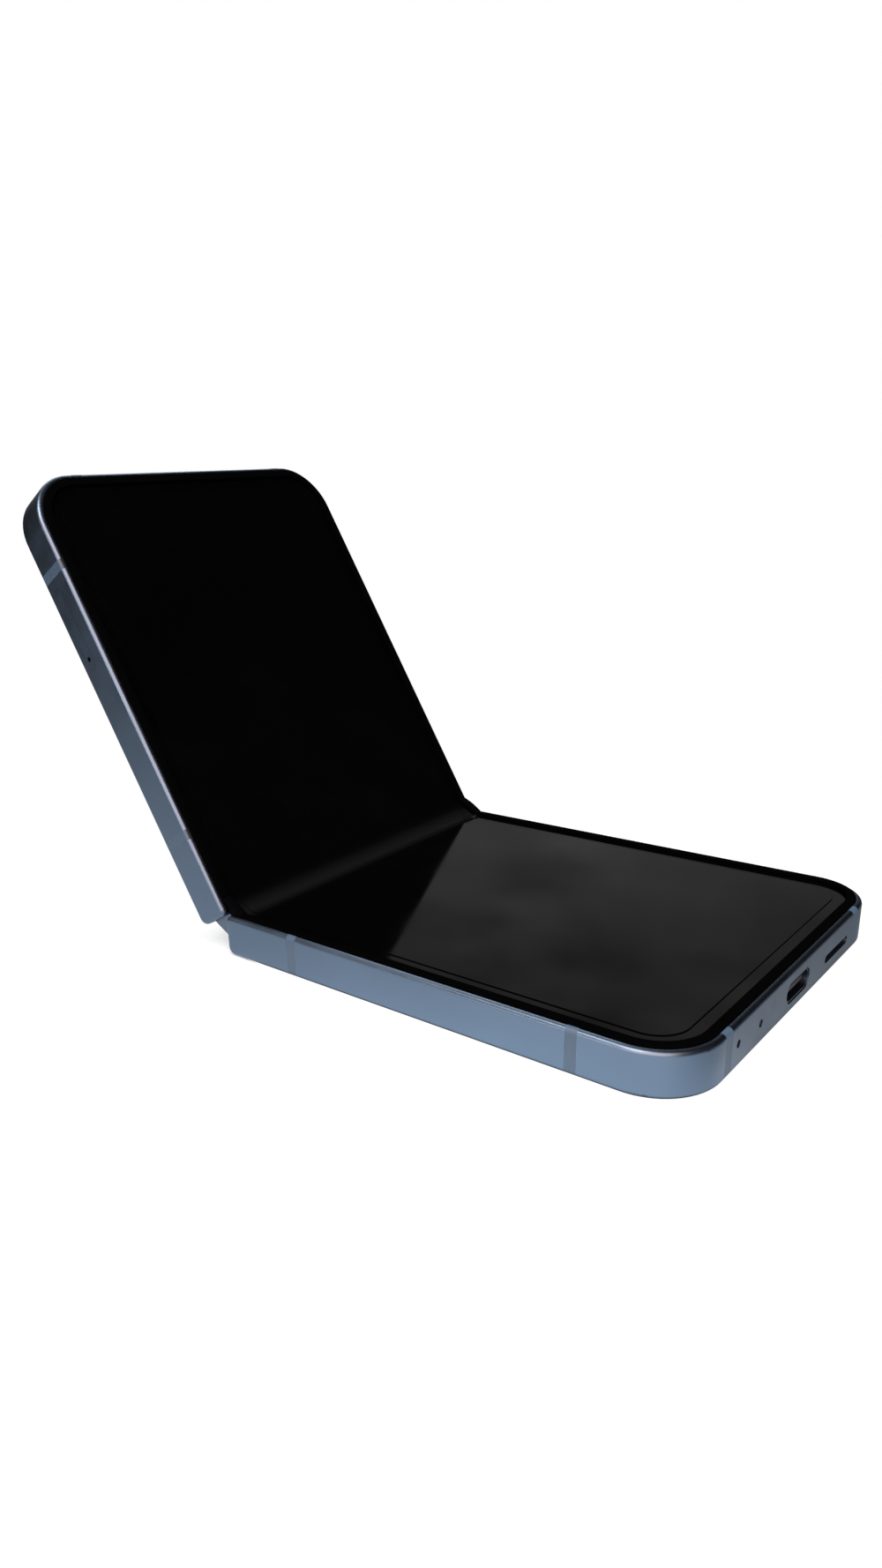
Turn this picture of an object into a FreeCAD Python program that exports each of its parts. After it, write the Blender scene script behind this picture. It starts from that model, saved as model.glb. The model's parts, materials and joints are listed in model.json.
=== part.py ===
import FreeCAD, Part
import math
import os

# Clamshell folding phone, half open.
# Design frame: the two halves lie flat, the fold line is the X axis, the lower
# half runs towards -Y and the upper half towards +Y, and z = 0 is the metal
# face on the screen side.  Each piece is drawn there and then set down by its
# Placement: the lower half on the table, the spine turned by half the fold and
# the upper half by the whole fold.

os.makedirs("parts", exist_ok=True)
doc = FreeCAD.newDocument("FoldingPhone")
V3 = FreeCAD.Vector

# ---------------------------------------------------------------- sizes
SIZES = [
    ("width", 71.9), ("half_len", 82.55), ("thick", 6.9), ("corner_rad", 9.5),
    ("end_trim", 0.45), ("rail", 1.5), ("edge_round", 0.75),
    ("end_round_top", 1.0), ("end_round_back", 1.4),
    ("tray_inset", 0.9), ("tray_depth", 0.9), ("mid_floor", 1.7),
    ("glass_inset", 0.9), ("glass_thick", 0.55), ("slack", 0.05),
    ("bezel_in", 2.45), ("bezel_rise", 0.4), ("bezel_lip", 0.18), ("bezel_round", 0.26),
    ("bridge_end", 2.33), ("bridge_splay", 0.25), ("bridge_low", 0.6), ("bridge_top", 1.24), ("bridge_crown", 0.21),
    ("bridge_round", 0.15),
    ("panel_inset", 1.25), ("panel_top", 0.2), ("film_inset", 4.5), ("film_thick", 0.12),
    ("fold_half", 6.2), ("bend_start", 4.2), ("bend_end", 0.3),
    ("fold_angle", 29.66), ("pivot_off", 1.7), ("pivot_depth", 1.15),
    ("spine_rad", 4.1), ("spine_wall", 0.5), ("spine_top", 2.2), ("spine_half", 34.25),
    ("cap_thick", 0.8), ("cav_rad", 4.25),
    ("rail_in", 2.2), ("rail_out", 3.1), ("groove_gap", 0.05),
    ("arm_top", 1.35), ("arm_low", 2.05), ("pad_low", 2.6), ("arm_wide", 3.2),
    ("band_wide", 1.8), ("band_near", 15.5), ("band_far", 66.0), ("band_end", 24.7), ("band_end_wide", 2.2),
    ("usb_wide", 8.94), ("usb_high", 3.26), ("usb_mid", 3.5), ("usb_deep", 7.3),
    ("spk_mid", 16.4), ("spk_long", 10.2), ("spk_high", 1.3), ("spk_level", 3.9),
    ("mic_rad", 0.6), ("mic_a", 21.6), ("mic_b", 14.0),
    ("key_high", 2.1), ("key_level", 3.45), ("power_mid", 37.0), ("power_long", 10.8),
    ("vol_mid", 57.0), ("vol_long", 17.6), ("key_proud", 0.2), ("key_gap", 0.1), ("key_round", 0.18),
    ("sim_mid", 55.7), ("sim_long", 15.0), ("sim_high", 2.0), ("sim_level", 4.18), ("sim_pin", 50.06), ("sim_gap", 0.05),
    ("cam_v", 70.0), ("cam_a", 24.3), ("cam_b", 9.6), ("cam_rad", 6.3), ("cam_lens", 5.2), ("cam_proud", 1.0), ("cam_round", 0.3),
    ("gear_mod", 0.12), ("gear_z", 3.6955), ("gear_outer", 2.4), ("gear_inner", 0.9),
]
sheet = doc.addObject("Spreadsheet::Sheet", "Sizes")
for row, (alias, value) in enumerate(SIZES, start=1):
    sheet.set("A%d" % row, alias)
    sheet.set("B%d" % row, str(value))
    sheet.setAlias("B%d" % row, alias)
doc.recompute()


class Dim(object):
    """A length that knows its number and how it follows from the sheet."""

    def __init__(self, num, text):
        self.num = num
        self.text = text

    def __add__(self, o):
        o = as_dim(o)
        return Dim(self.num + o.num, "(%s + %s)" % (self.text, o.text))

    def __radd__(self, o):
        return as_dim(o) + self

    def __sub__(self, o):
        o = as_dim(o)
        return Dim(self.num - o.num, "(%s - %s)" % (self.text, o.text))

    def __rsub__(self, o):
        return as_dim(o) - self

    def __mul__(self, o):
        o = as_dim(o)
        return Dim(self.num * o.num, "(%s * %s)" % (self.text, o.text))

    def __rmul__(self, o):
        return as_dim(o) * self

    def __truediv__(self, o):
        o = as_dim(o)
        return Dim(self.num / o.num, "(%s / %s)" % (self.text, o.text))

    def __neg__(self):
        return Dim(-self.num, "(0 - %s)" % self.text)


def as_dim(v):
    if isinstance(v, Dim):
        return v
    return Dim(float(v), "(%.6f)" % float(v))


class Sizes(object):
    pass


d = Sizes()
for alias, value in SIZES:
    setattr(d, alias, Dim(float(sheet.get(alias)), "Sizes.%s" % alias))

half_w = d.width / 2
inner_w = half_w - d.rail
NODES = []          # (object, where)
COUNT = [0]


def new_name(stem):
    COUNT[0] += 1
    return "%s_%d" % (stem, COUNT[0])


def bind(obj, prop, dim):
    obj.setExpression(prop, as_dim(dim).text)


def move_to(obj, x, y, z):
    x, y, z = as_dim(x), as_dim(y), as_dim(z)
    obj.Placement.Base = V3(x.num, y.num, z.num)
    bind(obj, "Placement.Base.x", x)
    bind(obj, "Placement.Base.y", y)
    bind(obj, "Placement.Base.z", z)


def box(x0, x1, y0, y1, z0, z1):
    o = doc.addObject("Part::Box", new_name("Block"))
    x0, x1, y0, y1, z0, z1 = [as_dim(v) for v in (x0, x1, y0, y1, z0, z1)]
    bind(o, "Length", x1 - x0)
    bind(o, "Width", y1 - y0)
    bind(o, "Height", z1 - z0)
    move_to(o, x0, y0, z0)
    return o


def hbox(s, x0, x1, v0, v1, z0, z1):
    """Block on one half: v is the distance from the fold line."""
    v0, v1 = as_dim(v0), as_dim(v1)
    if s > 0:
        return box(x0, x1, v0, v1, z0, z1)
    return box(x0, x1, -v1, -v0, z0, z1)


def rod_z(x, y, z0, z1, rad):
    o = doc.addObject("Part::Cylinder", new_name("Rod"))
    bind(o, "Radius", rad)
    bind(o, "Height", as_dim(z1) - z0)
    move_to(o, x, y, z0)
    return o


def rod_x(x0, x1, y, z, rad):
    o = doc.addObject("Part::Cylinder", new_name("Rod"))
    o.Placement = FreeCAD.Placement(V3(0, 0, 0), FreeCAD.Rotation(V3(0, 1, 0), 90))
    bind(o, "Radius", rad)
    bind(o, "Height", as_dim(x1) - x0)
    move_to(o, x0, y, z)
    return o


def rod_y(x, y0, y1, z, rad):
    o = doc.addObject("Part::Cylinder", new_name("Rod"))
    o.Placement = FreeCAD.Placement(V3(0, 0, 0), FreeCAD.Rotation(V3(1, 0, 0), -90))
    bind(o, "Radius", rad)
    bind(o, "Height", as_dim(y1) - y0)
    move_to(o, x, y0, z)
    return o


def sector_x(x0, x1, y, z, rad, start_deg, sweep_deg):
    """Part of a disc about an axis along X; angles run from +Y towards +Z."""
    a = math.radians(start_deg)
    o = doc.addObject("Part::Cylinder", new_name("Sector"))
    o.Placement = FreeCAD.Placement(V3(0, 0, 0), FreeCAD.Rotation(
        V3(0, math.cos(a), math.sin(a)), V3(0, -math.sin(a), math.cos(a)), V3(1, 0, 0), "ZXY"))
    o.Angle = sweep_deg
    bind(o, "Radius", rad)
    bind(o, "Height", as_dim(x1) - x0)
    move_to(o, x0, y, z)
    return o


def fuse(items):
    if len(items) == 1:
        return items[0]
    o = doc.addObject("Part::MultiFuse", new_name("Fuse"))
    o.Shapes = items
    return o


def cut(base, tool):
    o = doc.addObject("Part::Cut", new_name("Cut"))
    o.Base = base
    o.Tool = tool
    return o


def common(base, tool):
    o = doc.addObject("Part::Common", new_name("Common"))
    o.Base = base
    o.Tool = tool
    return o


def soften(base, picked, radius):
    """Round the picked edges of a finished piece."""
    doc.recompute()
    r = as_dim(radius).num
    f = doc.addObject("Part::Fillet", new_name("Soft"))
    f.Base = base
    f.Edges = [(i + 1, r, r) for i, e in enumerate(base.Shape.Edges) if picked(e.BoundBox)]
    if not f.Edges:
        raise RuntimeError("no edges to soften on %s" % base.Name)
    return f


def node(label, where, items):
    """One named sub-part, made of one or more separate solids."""
    o = doc.addObject("Part::Compound", "Node_" + label)
    o.Links = items
    o.Label = label
    NODES.append((o, where))
    return o


def slot_y(x, z, long_, high, y0, y1):
    """Stadium opening through an end wall, long along X."""
    rad = as_dim(high) / 2
    reach = as_dim(long_) / 2 - rad
    x = as_dim(x)
    z = as_dim(z)
    return fuse([box(x - reach, x + reach, y0, y1, z - rad, z + rad),
                 rod_y(x - reach, y0, y1, z, rad), rod_y(x + reach, y0, y1, z, rad)])


def slot_x(s, v, z, long_, high, x0, x1):
    """Stadium opening through a side wall, long along the half."""
    rad = as_dim(high) / 2
    reach = as_dim(long_) / 2 - rad
    v = as_dim(v)
    z = as_dim(z)
    return fuse([hbox(s, x0, x1, v - reach, v + reach, z - rad, z + rad),
                 rod_x(x0, x1, (v - reach) * s, z, rad), rod_x(x0, x1, (v + reach) * s, z, rad)])


def origin_plane(body, role):
    return [f for f in body.Origin.OriginFeatures if f.Role == role][0]


def outline(body, s, inset, v0, level):
    """Closed outline of one half: square at the fold, round corners at the far end."""
    import Sketcher
    inset, v0, level = as_dim(inset), as_dim(v0), as_dim(level)
    wide = d.width - 2 * inset
    far = d.half_len - inset
    rad = d.corner_rad - inset
    sk = body.newObject("Sketcher::SketchObject", new_name("Outline"))
    sk.AttachmentSupport = [(origin_plane(body, "XY_Plane"), "")]
    sk.MapMode = "FlatFace"
    sk.AttachmentOffset = FreeCAD.Placement(V3(0, 0, level.num), FreeCAD.Rotation())
    sk.setExpression("AttachmentOffset.Base.z", level.text)
    w, f, r, n = wide.num / 2, far.num * s, rad.num, v0.num * s
    k = f - r * s
    up = V3(0, 0, 1)
    sk.addGeometry(Part.LineSegment(V3(-w, n, 0), V3(-w, k, 0)))
    left = Part.Circle(V3(-w + r, k, 0), up, r)
    right = Part.Circle(V3(w - r, k, 0), up, r)
    half = math.pi / 2
    if s > 0:
        sk.addGeometry(Part.ArcOfCircle(left, half, 2 * half))
        pos = (2, 1, 2, 1)
    else:
        sk.addGeometry(Part.ArcOfCircle(left, 2 * half, 3 * half))
        pos = (1, 2, 1, 2)
    sk.addGeometry(Part.LineSegment(V3(-w + r, f, 0), V3(w - r, f, 0)))
    if s > 0:
        sk.addGeometry(Part.ArcOfCircle(right, 0, half))
    else:
        sk.addGeometry(Part.ArcOfCircle(right, 3 * half, 4 * half))
    sk.addGeometry(Part.LineSegment(V3(w, k, 0), V3(w, n, 0)))
    sk.addGeometry(Part.LineSegment(V3(w, n, 0), V3(-w, n, 0)))
    C = Sketcher.Constraint
    sk.addConstraint(C("Tangent", 0, 2, 1, pos[0]))
    sk.addConstraint(C("Tangent", 1, pos[1], 2, 1))
    sk.addConstraint(C("Tangent", 2, 2, 3, pos[2]))
    sk.addConstraint(C("Tangent", 3, pos[3], 4, 1))
    sk.addConstraint(C("Coincident", 4, 2, 5, 1))
    sk.addConstraint(C("Coincident", 5, 2, 0, 1))
    sk.addConstraint(C("Vertical", 0))
    sk.addConstraint(C("Horizontal", 2))
    sk.addConstraint(C("Vertical", 4))
    sk.addConstraint(C("Equal", 1, 3))
    sk.addConstraint(C("Symmetric", 0, 1, 4, 2, -2))
    for name, con in (("wide", C("DistanceX", 0, 1, 4, 2, wide.num)),
                      ("round", C("Radius", 1, r)),
                      ("start", C("DistanceY", -1, 1, 0, 1, v0.num) if s > 0 else C("DistanceY", 0, 1, -1, 1, v0.num)),
                      ("reach", C("DistanceY", -1, 1, 2, 1, far.num) if s > 0 else C("DistanceY", 2, 1, -1, 1, far.num))):
        i = sk.addConstraint(con)
        sk.renameConstraint(i, name)
    sk.setExpression("Constraints.wide", wide.text)
    sk.setExpression("Constraints.round", rad.text)
    sk.setExpression("Constraints.start", v0.text)
    sk.setExpression("Constraints.reach", far.text)
    return sk


def pad(body, sk, height):
    p = body.newObject("PartDesign::Pad", new_name("Pad"))
    p.Profile = sk
    p.Length = as_dim(height).num
    bind(p, "Length", height)
    return p


def pocket(body, sk, depth, upward=False):
    before = body.Shape.Volume
    p = body.newObject("PartDesign::Pocket", new_name("Pocket"))
    p.Profile = sk
    p.Length = as_dim(depth).num
    bind(p, "Length", depth)
    p.Reversed = upward
    doc.recompute()
    if body.Shape.Volume > before - 0.01:
        raise RuntimeError("a pocket in %s cut nothing" % body.Name)
    return p


def round_edges(body, base, picked, radius):
    names = ["Edge%d" % (i + 1) for i, e in enumerate(base.Shape.Edges) if picked(e)]
    if not names:
        raise RuntimeError("no edges to round in %s" % body.Name)
    f = body.newObject("PartDesign::Fillet", new_name("Round"))
    f.Base = (base, names)
    f.Radius = as_dim(radius).num
    bind(f, "Radius", radius)
    doc.recompute()
    return f


def plate(s, inset, v0, z0, z1):
    """Flat plate with the outline of one half."""
    body = doc.addObject("PartDesign::Body", new_name("Plate"))
    pad(body, outline(body, s, inset, v0, z0), as_dim(z1) - z0)
    doc.recompute()
    return body


# ---------------------------------------------------------------- kinematics
TH = d.fold_angle.num
PO, PD = d.pivot_off.num, d.pivot_depth.num
SET_DOWN = FreeCAD.Placement(V3(0, d.half_len.num / 2, d.thick.num), FreeCAD.Rotation())
TURN_LOW = FreeCAD.Placement(V3(0, 0, 0), FreeCAD.Rotation(V3(1, 0, 0), TH), V3(0, -PO, -PD))
TURN_UP = FreeCAD.Placement(V3(0, 0, 0), FreeCAD.Rotation(V3(1, 0, 0), TH), V3(0, PO, -PD))
WHERE = {
    "lower": SET_DOWN,
    "spine": SET_DOWN.multiply(TURN_LOW),
    "upper": SET_DOWN.multiply(TURN_LOW).multiply(TURN_UP),
}


def bent(v, z):
    """Point of the flexible stack at rest, in the spine's frame, lower side (-Y)."""
    span = (d.bend_start.num - v) / (d.bend_start.num - d.bend_end.num)
    span = min(1.0, max(0.0, span))
    w = span * span * (3 - 2 * span)
    a = math.radians((1 - w) * TH)
    t, h = v - PO, z + PD
    return (-(PO + t * math.cos(a) - h * math.sin(a)), -PD + t * math.sin(a) + h * math.cos(a))


def bent_strip(x0, x1, reach, z0, z1, steps=22):
    """Strip across the fold at rest: smooth top and bottom, square ends."""
    vs = [reach * i / float(steps) for i in range(steps + 1)]

    def line(z):
        low = [bent(v, z) for v in vs]
        pts = [V3(x0, p[0], p[1]) for p in reversed(low)] + [V3(x0, -p[0], p[1]) for p in low[1:]]
        c = Part.BSplineCurve()
        c.interpolate(pts)
        return c.toShape(), pts
    top, tp = line(z1)
    low, lp = line(z0)
    wire = Part.Wire(Part.__sortEdges__([top, low, Part.makeLine(tp[0], lp[0]), Part.makeLine(tp[-1], lp[-1])]))
    return Part.Face(wire).extrude(V3(x1 - x0, 0, 0))


def shape_node(label, where, shapes):
    o = doc.addObject("Part::Feature", "Node_" + label)
    o.Label = label
    o.Shape = shapes[0] if len(shapes) == 1 else Part.makeCompound(shapes)
    NODES.append((o, where))
    return o


# ---------------------------------------------------------------- pieces common to both halves
def frame_blank(s):
    """Machined frame of one half before its openings: walls, floor, ledges."""
    body = doc.addObject("PartDesign::Body", new_name("FrameBlank"))
    top = pad(body, outline(body, s, 0, d.end_trim, -d.thick), d.thick)
    doc.recompute()
    vend = d.end_trim.num * s
    T, hw = d.thick.num, half_w.num

    def fold_edge(level):
        def test(e):
            b = e.BoundBox
            return (abs(b.YMin - vend) < 1e-4 and abs(b.YMax - vend) < 1e-4
                    and abs(b.ZMin - level) < 1e-4 and abs(b.ZMax - level) < 1e-4)
        return test
    f1 = round_edges(body, top, fold_edge(0.0), d.end_round_top)
    f2 = round_edges(body, f1, fold_edge(-T), d.end_round_back)

    def rim(e):
        b = e.BoundBox
        flat_top = abs(b.ZMin) < 1e-4 and abs(b.ZMax) < 1e-4
        flat_low = abs(b.ZMin + T) < 1e-4 and abs(b.ZMax + T) < 1e-4
        side = abs(abs(b.XMin) - hw) < 1e-4 and abs(b.XMax - b.XMin) < 1e-4
        across = b.XMax - b.XMin > hw and abs((b.YMin + b.YMax) / 2 * s) < 10
        corner_line = abs(b.YMax - b.YMin) < 1e-4 and b.ZMax - b.ZMin > T - 0.1
        if side and b.ZMax - b.ZMin > T - 0.1:
            return False
        return (flat_top or flat_low or side) and not across and not corner_line
    round_edges(body, f2, rim, d.edge_round)
    pocket(body, outline(body, s, d.tray_inset, 0.1, 0.0), d.tray_depth)
    pocket(body, outline(body, s, d.rail, 6.9, -d.thick), d.thick - d.mid_floor, True)
    pocket(body, outline(body, s, d.glass_inset, 1.6, -d.thick), d.glass_thick, True)
    return body


def frame_openings(s):
    """Room for the spine, the hinge arms and the plates beside the fold."""
    py = d.pivot_off * s
    tools = [rod_x(-inner_w, inner_w, py, -d.pivot_depth, d.cav_rad),
             hbox(s, -inner_w, inner_w, -3.0, d.pivot_off, -d.pivot_depth - d.cav_rad, 1.0),
             hbox(s, -33.9, 33.9, 0.0, 9.0, -1.2, 0.5),
             hbox(s, -34.8, 34.8, 0.0, 4.6, -1.3, 0.5),
             hbox(s, -33.9, 33.9, 0.0, 7.0, -2.0, 0.5)]
    for x0, x1 in ARM_SPANS[s] + [SYNC_SPAN[s]]:
        tools.append(hbox(s, as_dim(x0) - 0.3, as_dim(x1) + 0.3, 4.0, 7.3, -2.75, -1.0))
    tools.append(hbox(s, 8.0, 16.5, 4.0, 7.3, -2.9, -1.0))
    for x, v in SCREWS[s]:
        tools.append(rod_z(x, v * s, -1.9, -1.1, 0.6))
    return tools


ARM_SPANS = {-1: [(21.5, 24.7), (-24.7, -21.5)], 1: [(25.3, 28.5), (-28.5, -25.3)]}
SYNC_SPAN = {-1: (-4.0, -1.6), 1: (1.6, 4.0)}
SCREWS = {}
for s_ in (-1, 1):
    SCREWS[s_] = [((a + b) / 2.0, v) for a, b in ARM_SPANS[s_] for v in (9.0, 11.6)]
    SCREWS[s_].append((sum(SYNC_SPAN[s_]) / 2.0, 10.4))


def band_slabs(s):
    half = d.band_wide / 2
    out = []
    for v in (d.band_near, d.band_far):
        out.append(hbox(s, half_w - d.rail, half_w + 1, v - half, v + half, -8.0, 1.0))
        out.append(hbox(s, -half_w - 1, -half_w + d.rail, v - half, v + half, -8.0, 1.0))
    for sx in (-1, 1):
        x, wide = d.band_end * sx, d.band_end_wide / 2
        out.append(hbox(s, x - wide, x + wide, d.half_len - d.rail, d.half_len + 1, -8.0, 1.0))
    return out


def frame_and_bands(prefix, s, extra):
    raw = cut(frame_blank(s), fuse(frame_openings(s) + extra))
    slabs = band_slabs(s)
    holder = doc.addObject("Part::Compound", new_name("Slabs"))
    holder.Links = slabs
    node(prefix + "_frame", prefix, [cut(raw, holder)])
    node(prefix + "_antenna_bands", prefix, [common(raw, b) for b in slabs])


def bezel(prefix, s):
    lip = cut(plate(s, d.tray_inset + d.slack, 3.4, -d.bezel_lip, d.bezel_rise),
              plate(s, d.bezel_in, 1.0, -1.0, 1.0))
    wall = cut(plate(s, d.tray_inset + d.slack, 3.4, -d.tray_depth, -d.bezel_lip),
               plate(s, d.panel_inset - d.slack, 1.0, -1.5, 0.5))
    level = d.bezel_rise.num
    ring = soften(fuse([lip, wall]), lambda b: abs(b.ZMin - level) < 1e-4 and abs(b.ZMax - level) < 1e-4,
                  d.bezel_round)
    node(prefix + "_bezel", prefix, [ring])


def hinge_arms(prefix, s):
    py = d.pivot_off * s
    start = 190 if s < 0 else 200
    arms = []
    holes = [rod_z(x, v * s, -3.2, -1.2, 0.65) for x, v in SCREWS[s]]
    for x0, x1 in ARM_SPANS[s]:
        ring = cut(sector_x(x0, x1, py, -d.pivot_depth, d.rail_out, start, 150),
                   rod_x(x0 - 1.0, x1 + 1.0, py, -d.pivot_depth, d.rail_in))
        reach = hbox(s, x0, x1, 3.8, 6.8, -d.arm_low, -d.arm_top)
        foot = hbox(s, x0, x1, 6.0, 13.0, -d.pad_low, -d.mid_floor)
        mine = [h for h, (x, v) in zip(holes, SCREWS[s]) if x0 < x < x1]
        arms.append(cut(fuse([ring, reach, foot]), fuse(mine)))
    node(prefix + "_hinge_arms", prefix, arms)


def gear_wire(teeth, mod, first, y, z):
    """Outline of a small gear in the Y-Z plane, a tooth centred on angle first."""
    rp = teeth * mod / 2.0
    ra, rf = rp + 0.83 * mod, rp - 1.15 * mod
    pts = []
    for k in range(teeth):
        c = math.radians(first) + 2 * math.pi * k / teeth
        for r, half in ((rf, 0.86 * mod), (ra, 0.28 * mod), (ra, -0.28 * mod), (rf, -0.86 * mod)):
            a = c - half / r
            pts.append(V3(0, y + r * math.cos(a), z + r * math.sin(a)))
    return pts


MOD = d.gear_mod.num
GZ = -d.gear_z.num
SECTOR_TEETH, OUTER_TEETH, INNER_TEETH = 34, 10, 15
# Directions in the Y-Z plane of the spine at rest, lower side on -Y.
LINE = math.degrees(math.atan2(-GZ - PD, d.gear_outer.num - PO))       # from the pivot down to its gear
LOW_CONTACT = 180.0 + LINE
UP_CONTACT = 360.0 - LINE
OUT_LOW = LOW_CONTACT - 180.0 + 180.0 / OUTER_TEETH                     # gap towards the lower sector
step_out, step_in = 360.0 / OUTER_TEETH, 360.0 / INNER_TEETH


def partner(first, n_from, n_to, toward):
    """First tooth of a gear whose gap receives a tooth of its neighbour."""
    pitch = 360.0 / n_from
    off = (first - toward + pitch / 2.0) % pitch - pitch / 2.0
    return toward + 180.0 - off * n_from / float(n_to) + 180.0 / n_to


IN_LOW = partner(OUT_LOW, OUTER_TEETH, INNER_TEETH, 0.0)
IN_UP = partner(IN_LOW, INNER_TEETH, INNER_TEETH, 0.0)
OUT_UP = partner(IN_UP, INNER_TEETH, OUTER_TEETH, 0.0)
UP_FIRST = partner(OUT_UP, OUTER_TEETH, SECTOR_TEETH, UP_CONTACT - 180.0)


def prism(points, x0, x1):
    pts = [V3(x0, p.y, p.z) for p in points]
    return Part.Face(Part.makePolygon(pts + [pts[0]])).extrude(V3(x1 - x0, 0, 0))


def sync_arm(prefix, s):
    """Toothed sector on an arm, turning with its half about the fold pivot."""
    x0, x1 = SYNC_SPAN[s]
    py = PO * s
    # tooth angle of the sector in the half's own flat frame
    first = LOW_CONTACT + TH if s < 0 else UP_FIRST - TH
    disc = prism(gear_wire(SECTOR_TEETH, MOD, first, py, -PD), x0, x1)
    low, high = (190.0, 353.0) if s < 0 else (187.0, 350.0)
    fan = [V3(0, py, -PD)]
    for i in range(13):
        a = math.radians(low + (high - low) * i / 12.0)
        fan.append(V3(0, py + 6 * math.cos(a), -PD + 6 * math.sin(a)))
    disc = disc.common(prism(fan, x0 - 1, x1 + 1))
    disc = disc.cut(Part.makeCylinder(1.15, x1 - x0 + 2, V3(x0 - 1, py, -PD), V3(1, 0, 0)))

    def blk(v0, v1, z0, z1):
        y0 = v0 if s > 0 else -v1
        return Part.makeBox(x1 - x0, v1 - v0, z1 - z0, V3(x0, y0, z0))
    arm = disc.fuse([blk(2.9, 6.8, -d.arm_low.num, -d.arm_top.num), blk(6.0, 13.0, -d.pad_low.num, -d.mid_floor.num)])
    x, v = SCREWS[s][-1]
    arm = arm.cut(Part.makeCylinder(0.65, 3, V3(x, v * s, -4), V3(0, 0, 1))).removeSplitter()
    shape_node(prefix + "_sync_arm", prefix, [arm])


def screws(prefix, s):
    out = []
    for x, v in SCREWS[s]:
        head = rod_z(x, v * s, -d.pad_low - 0.45, -d.pad_low, 1.0)
        shank = rod_z(x, v * s, -d.pad_low - 0.1, -1.25, 0.57)
        slot_a = box(as_dim(x) - 0.55, as_dim(x) + 0.55, as_dim(v * s) - 0.11, as_dim(v * s) + 0.11,
                     -d.pad_low - 0.5, -d.pad_low - 0.25)
        slot_b = box(as_dim(x) - 0.11, as_dim(x) + 0.11, as_dim(v * s) - 0.55, as_dim(v * s) + 0.55,
                     -d.pad_low - 0.5, -d.pad_low - 0.25)
        out.append(cut(fuse([head, shank]), fuse([slot_a, slot_b])))
    node(prefix + "_hinge_screws", prefix, out)


def rounded_block(s, x0, x1, v0, v1, z0, z1, radius):
    """Soft-cornered block such as a cell or a module."""
    b = hbox(s, x0, x1, v0, v1, z0, z1)
    doc.recompute()
    f = doc.addObject("Part::Fillet", new_name("Soft"))
    f.Base = b
    f.Edges = [(i + 1, radius, radius) for i, e in enumerate(b.Shape.Edges)
               if e.BoundBox.ZMax - e.BoundBox.ZMin > 0.01 and e.BoundBox.XMax - e.BoundBox.XMin < 0.01
               and e.BoundBox.YMax - e.BoundBox.YMin < 0.01]
    return f


for prefix, s in (("lower", -1), ("upper", 1)):
    if s < 0:
        far0, far1 = -d.half_len - 1, -d.half_len + d.rail + 1
        extra = [slot_y(0, -d.usb_mid, d.usb_wide + 2 * d.slack, d.usb_high + 2 * d.slack, far0, far1),
                 slot_y(d.spk_mid, -d.spk_level, d.spk_long, d.spk_high, far0, far1),
                 rod_y(-d.mic_a, far0, far1, -d.usb_mid + 0.35, d.mic_rad),
                 rod_y(-d.mic_b, far0, far1, -d.usb_mid, d.mic_rad)]
    else:
        extra = [slot_x(s, d.power_mid, -d.key_level, d.power_long + 2 * d.key_gap, d.key_high + 2 * d.key_gap,
                        half_w - d.rail - 0.5, half_w + 1),
                 slot_x(s, d.vol_mid, -d.key_level, d.vol_long + 2 * d.key_gap, d.key_high + 2 * d.key_gap,
                        half_w - d.rail - 0.5, half_w + 1),
                 slot_x(s, d.sim_mid, -d.sim_level, d.sim_long + 2 * d.sim_gap, d.sim_high + 2 * d.sim_gap,
                        -half_w - 1, -half_w + d.rail + 0.5),
                 rod_z(0, 77.3, -3.0, 0.5, 2.6)]
    frame_and_bands(prefix, s, extra)
    bezel(prefix, s)
    node(prefix + "_display_panel", prefix, [plate(s, d.panel_inset, d.fold_half, -d.tray_depth, -d.panel_top)])
    node(prefix + "_screen_film", prefix,
         [plate(s, d.film_inset, d.fold_half, -d.panel_top, -d.panel_top + d.film_thick)])
    node(prefix + "_wing_plate", prefix, [hbox(s, -33.4, 33.4, 4.4, 8.9, -1.15, -0.92)])
    hinge_arms(prefix, s)
    sync_arm(prefix, s)
    screws(prefix, s)

# ---------------------------------------------------------------- lower half
s = -1
node("lower_back_glass", "lower",
     [plate(s, d.glass_inset + d.slack, 1.65, -d.thick, -d.thick + d.glass_thick)])
node("lower_battery", "lower", [rounded_block(s, -31.0, 31.0, 15.5, 64.0, -5.95, -1.9, 1.5)])
coil = cut(rod_z(0, -40.0, -6.33, -6.02, 22.0), rod_z(0, -40.0, -7.0, -5.0, 11.0))
node("charging_coil", "lower", [coil])
board = cut(hbox(s, -32.0, 32.0, 66.0, 78.3, -2.7, -1.95), hbox(s, -4.8, 4.8, 74.0, 82.0, -6.0, -1.0))
node("usb_board", "lower", [board])
u0, u1 = -d.half_len + 0.15, -d.half_len + 0.15 + d.usb_deep
shell = cut(slot_y(0, -d.usb_mid, d.usb_wide, d.usb_high, u0, u1),
            slot_y(0, -d.usb_mid, d.usb_wide - 0.6, d.usb_high - 0.6, u0 - 1, u1 - 0.4))
node("usb_shell", "lower", [shell])
tongue = fuse([box(-3.35, 3.35, u0 + 0.5, u1 - 1.2, -d.usb_mid - 0.35, -d.usb_mid + 0.35),
               box(-3.7, 3.7, u1 - 2.0, u1 - 0.42, -d.usb_mid - 0.9, -d.usb_mid + 0.9)])
node("usb_tongue", "lower", [tongue])
node("loudspeaker", "lower", [rounded_block(s, 7.2, 31.0, 67.0, 80.0, -6.2, -2.85, 1.0)])
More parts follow.
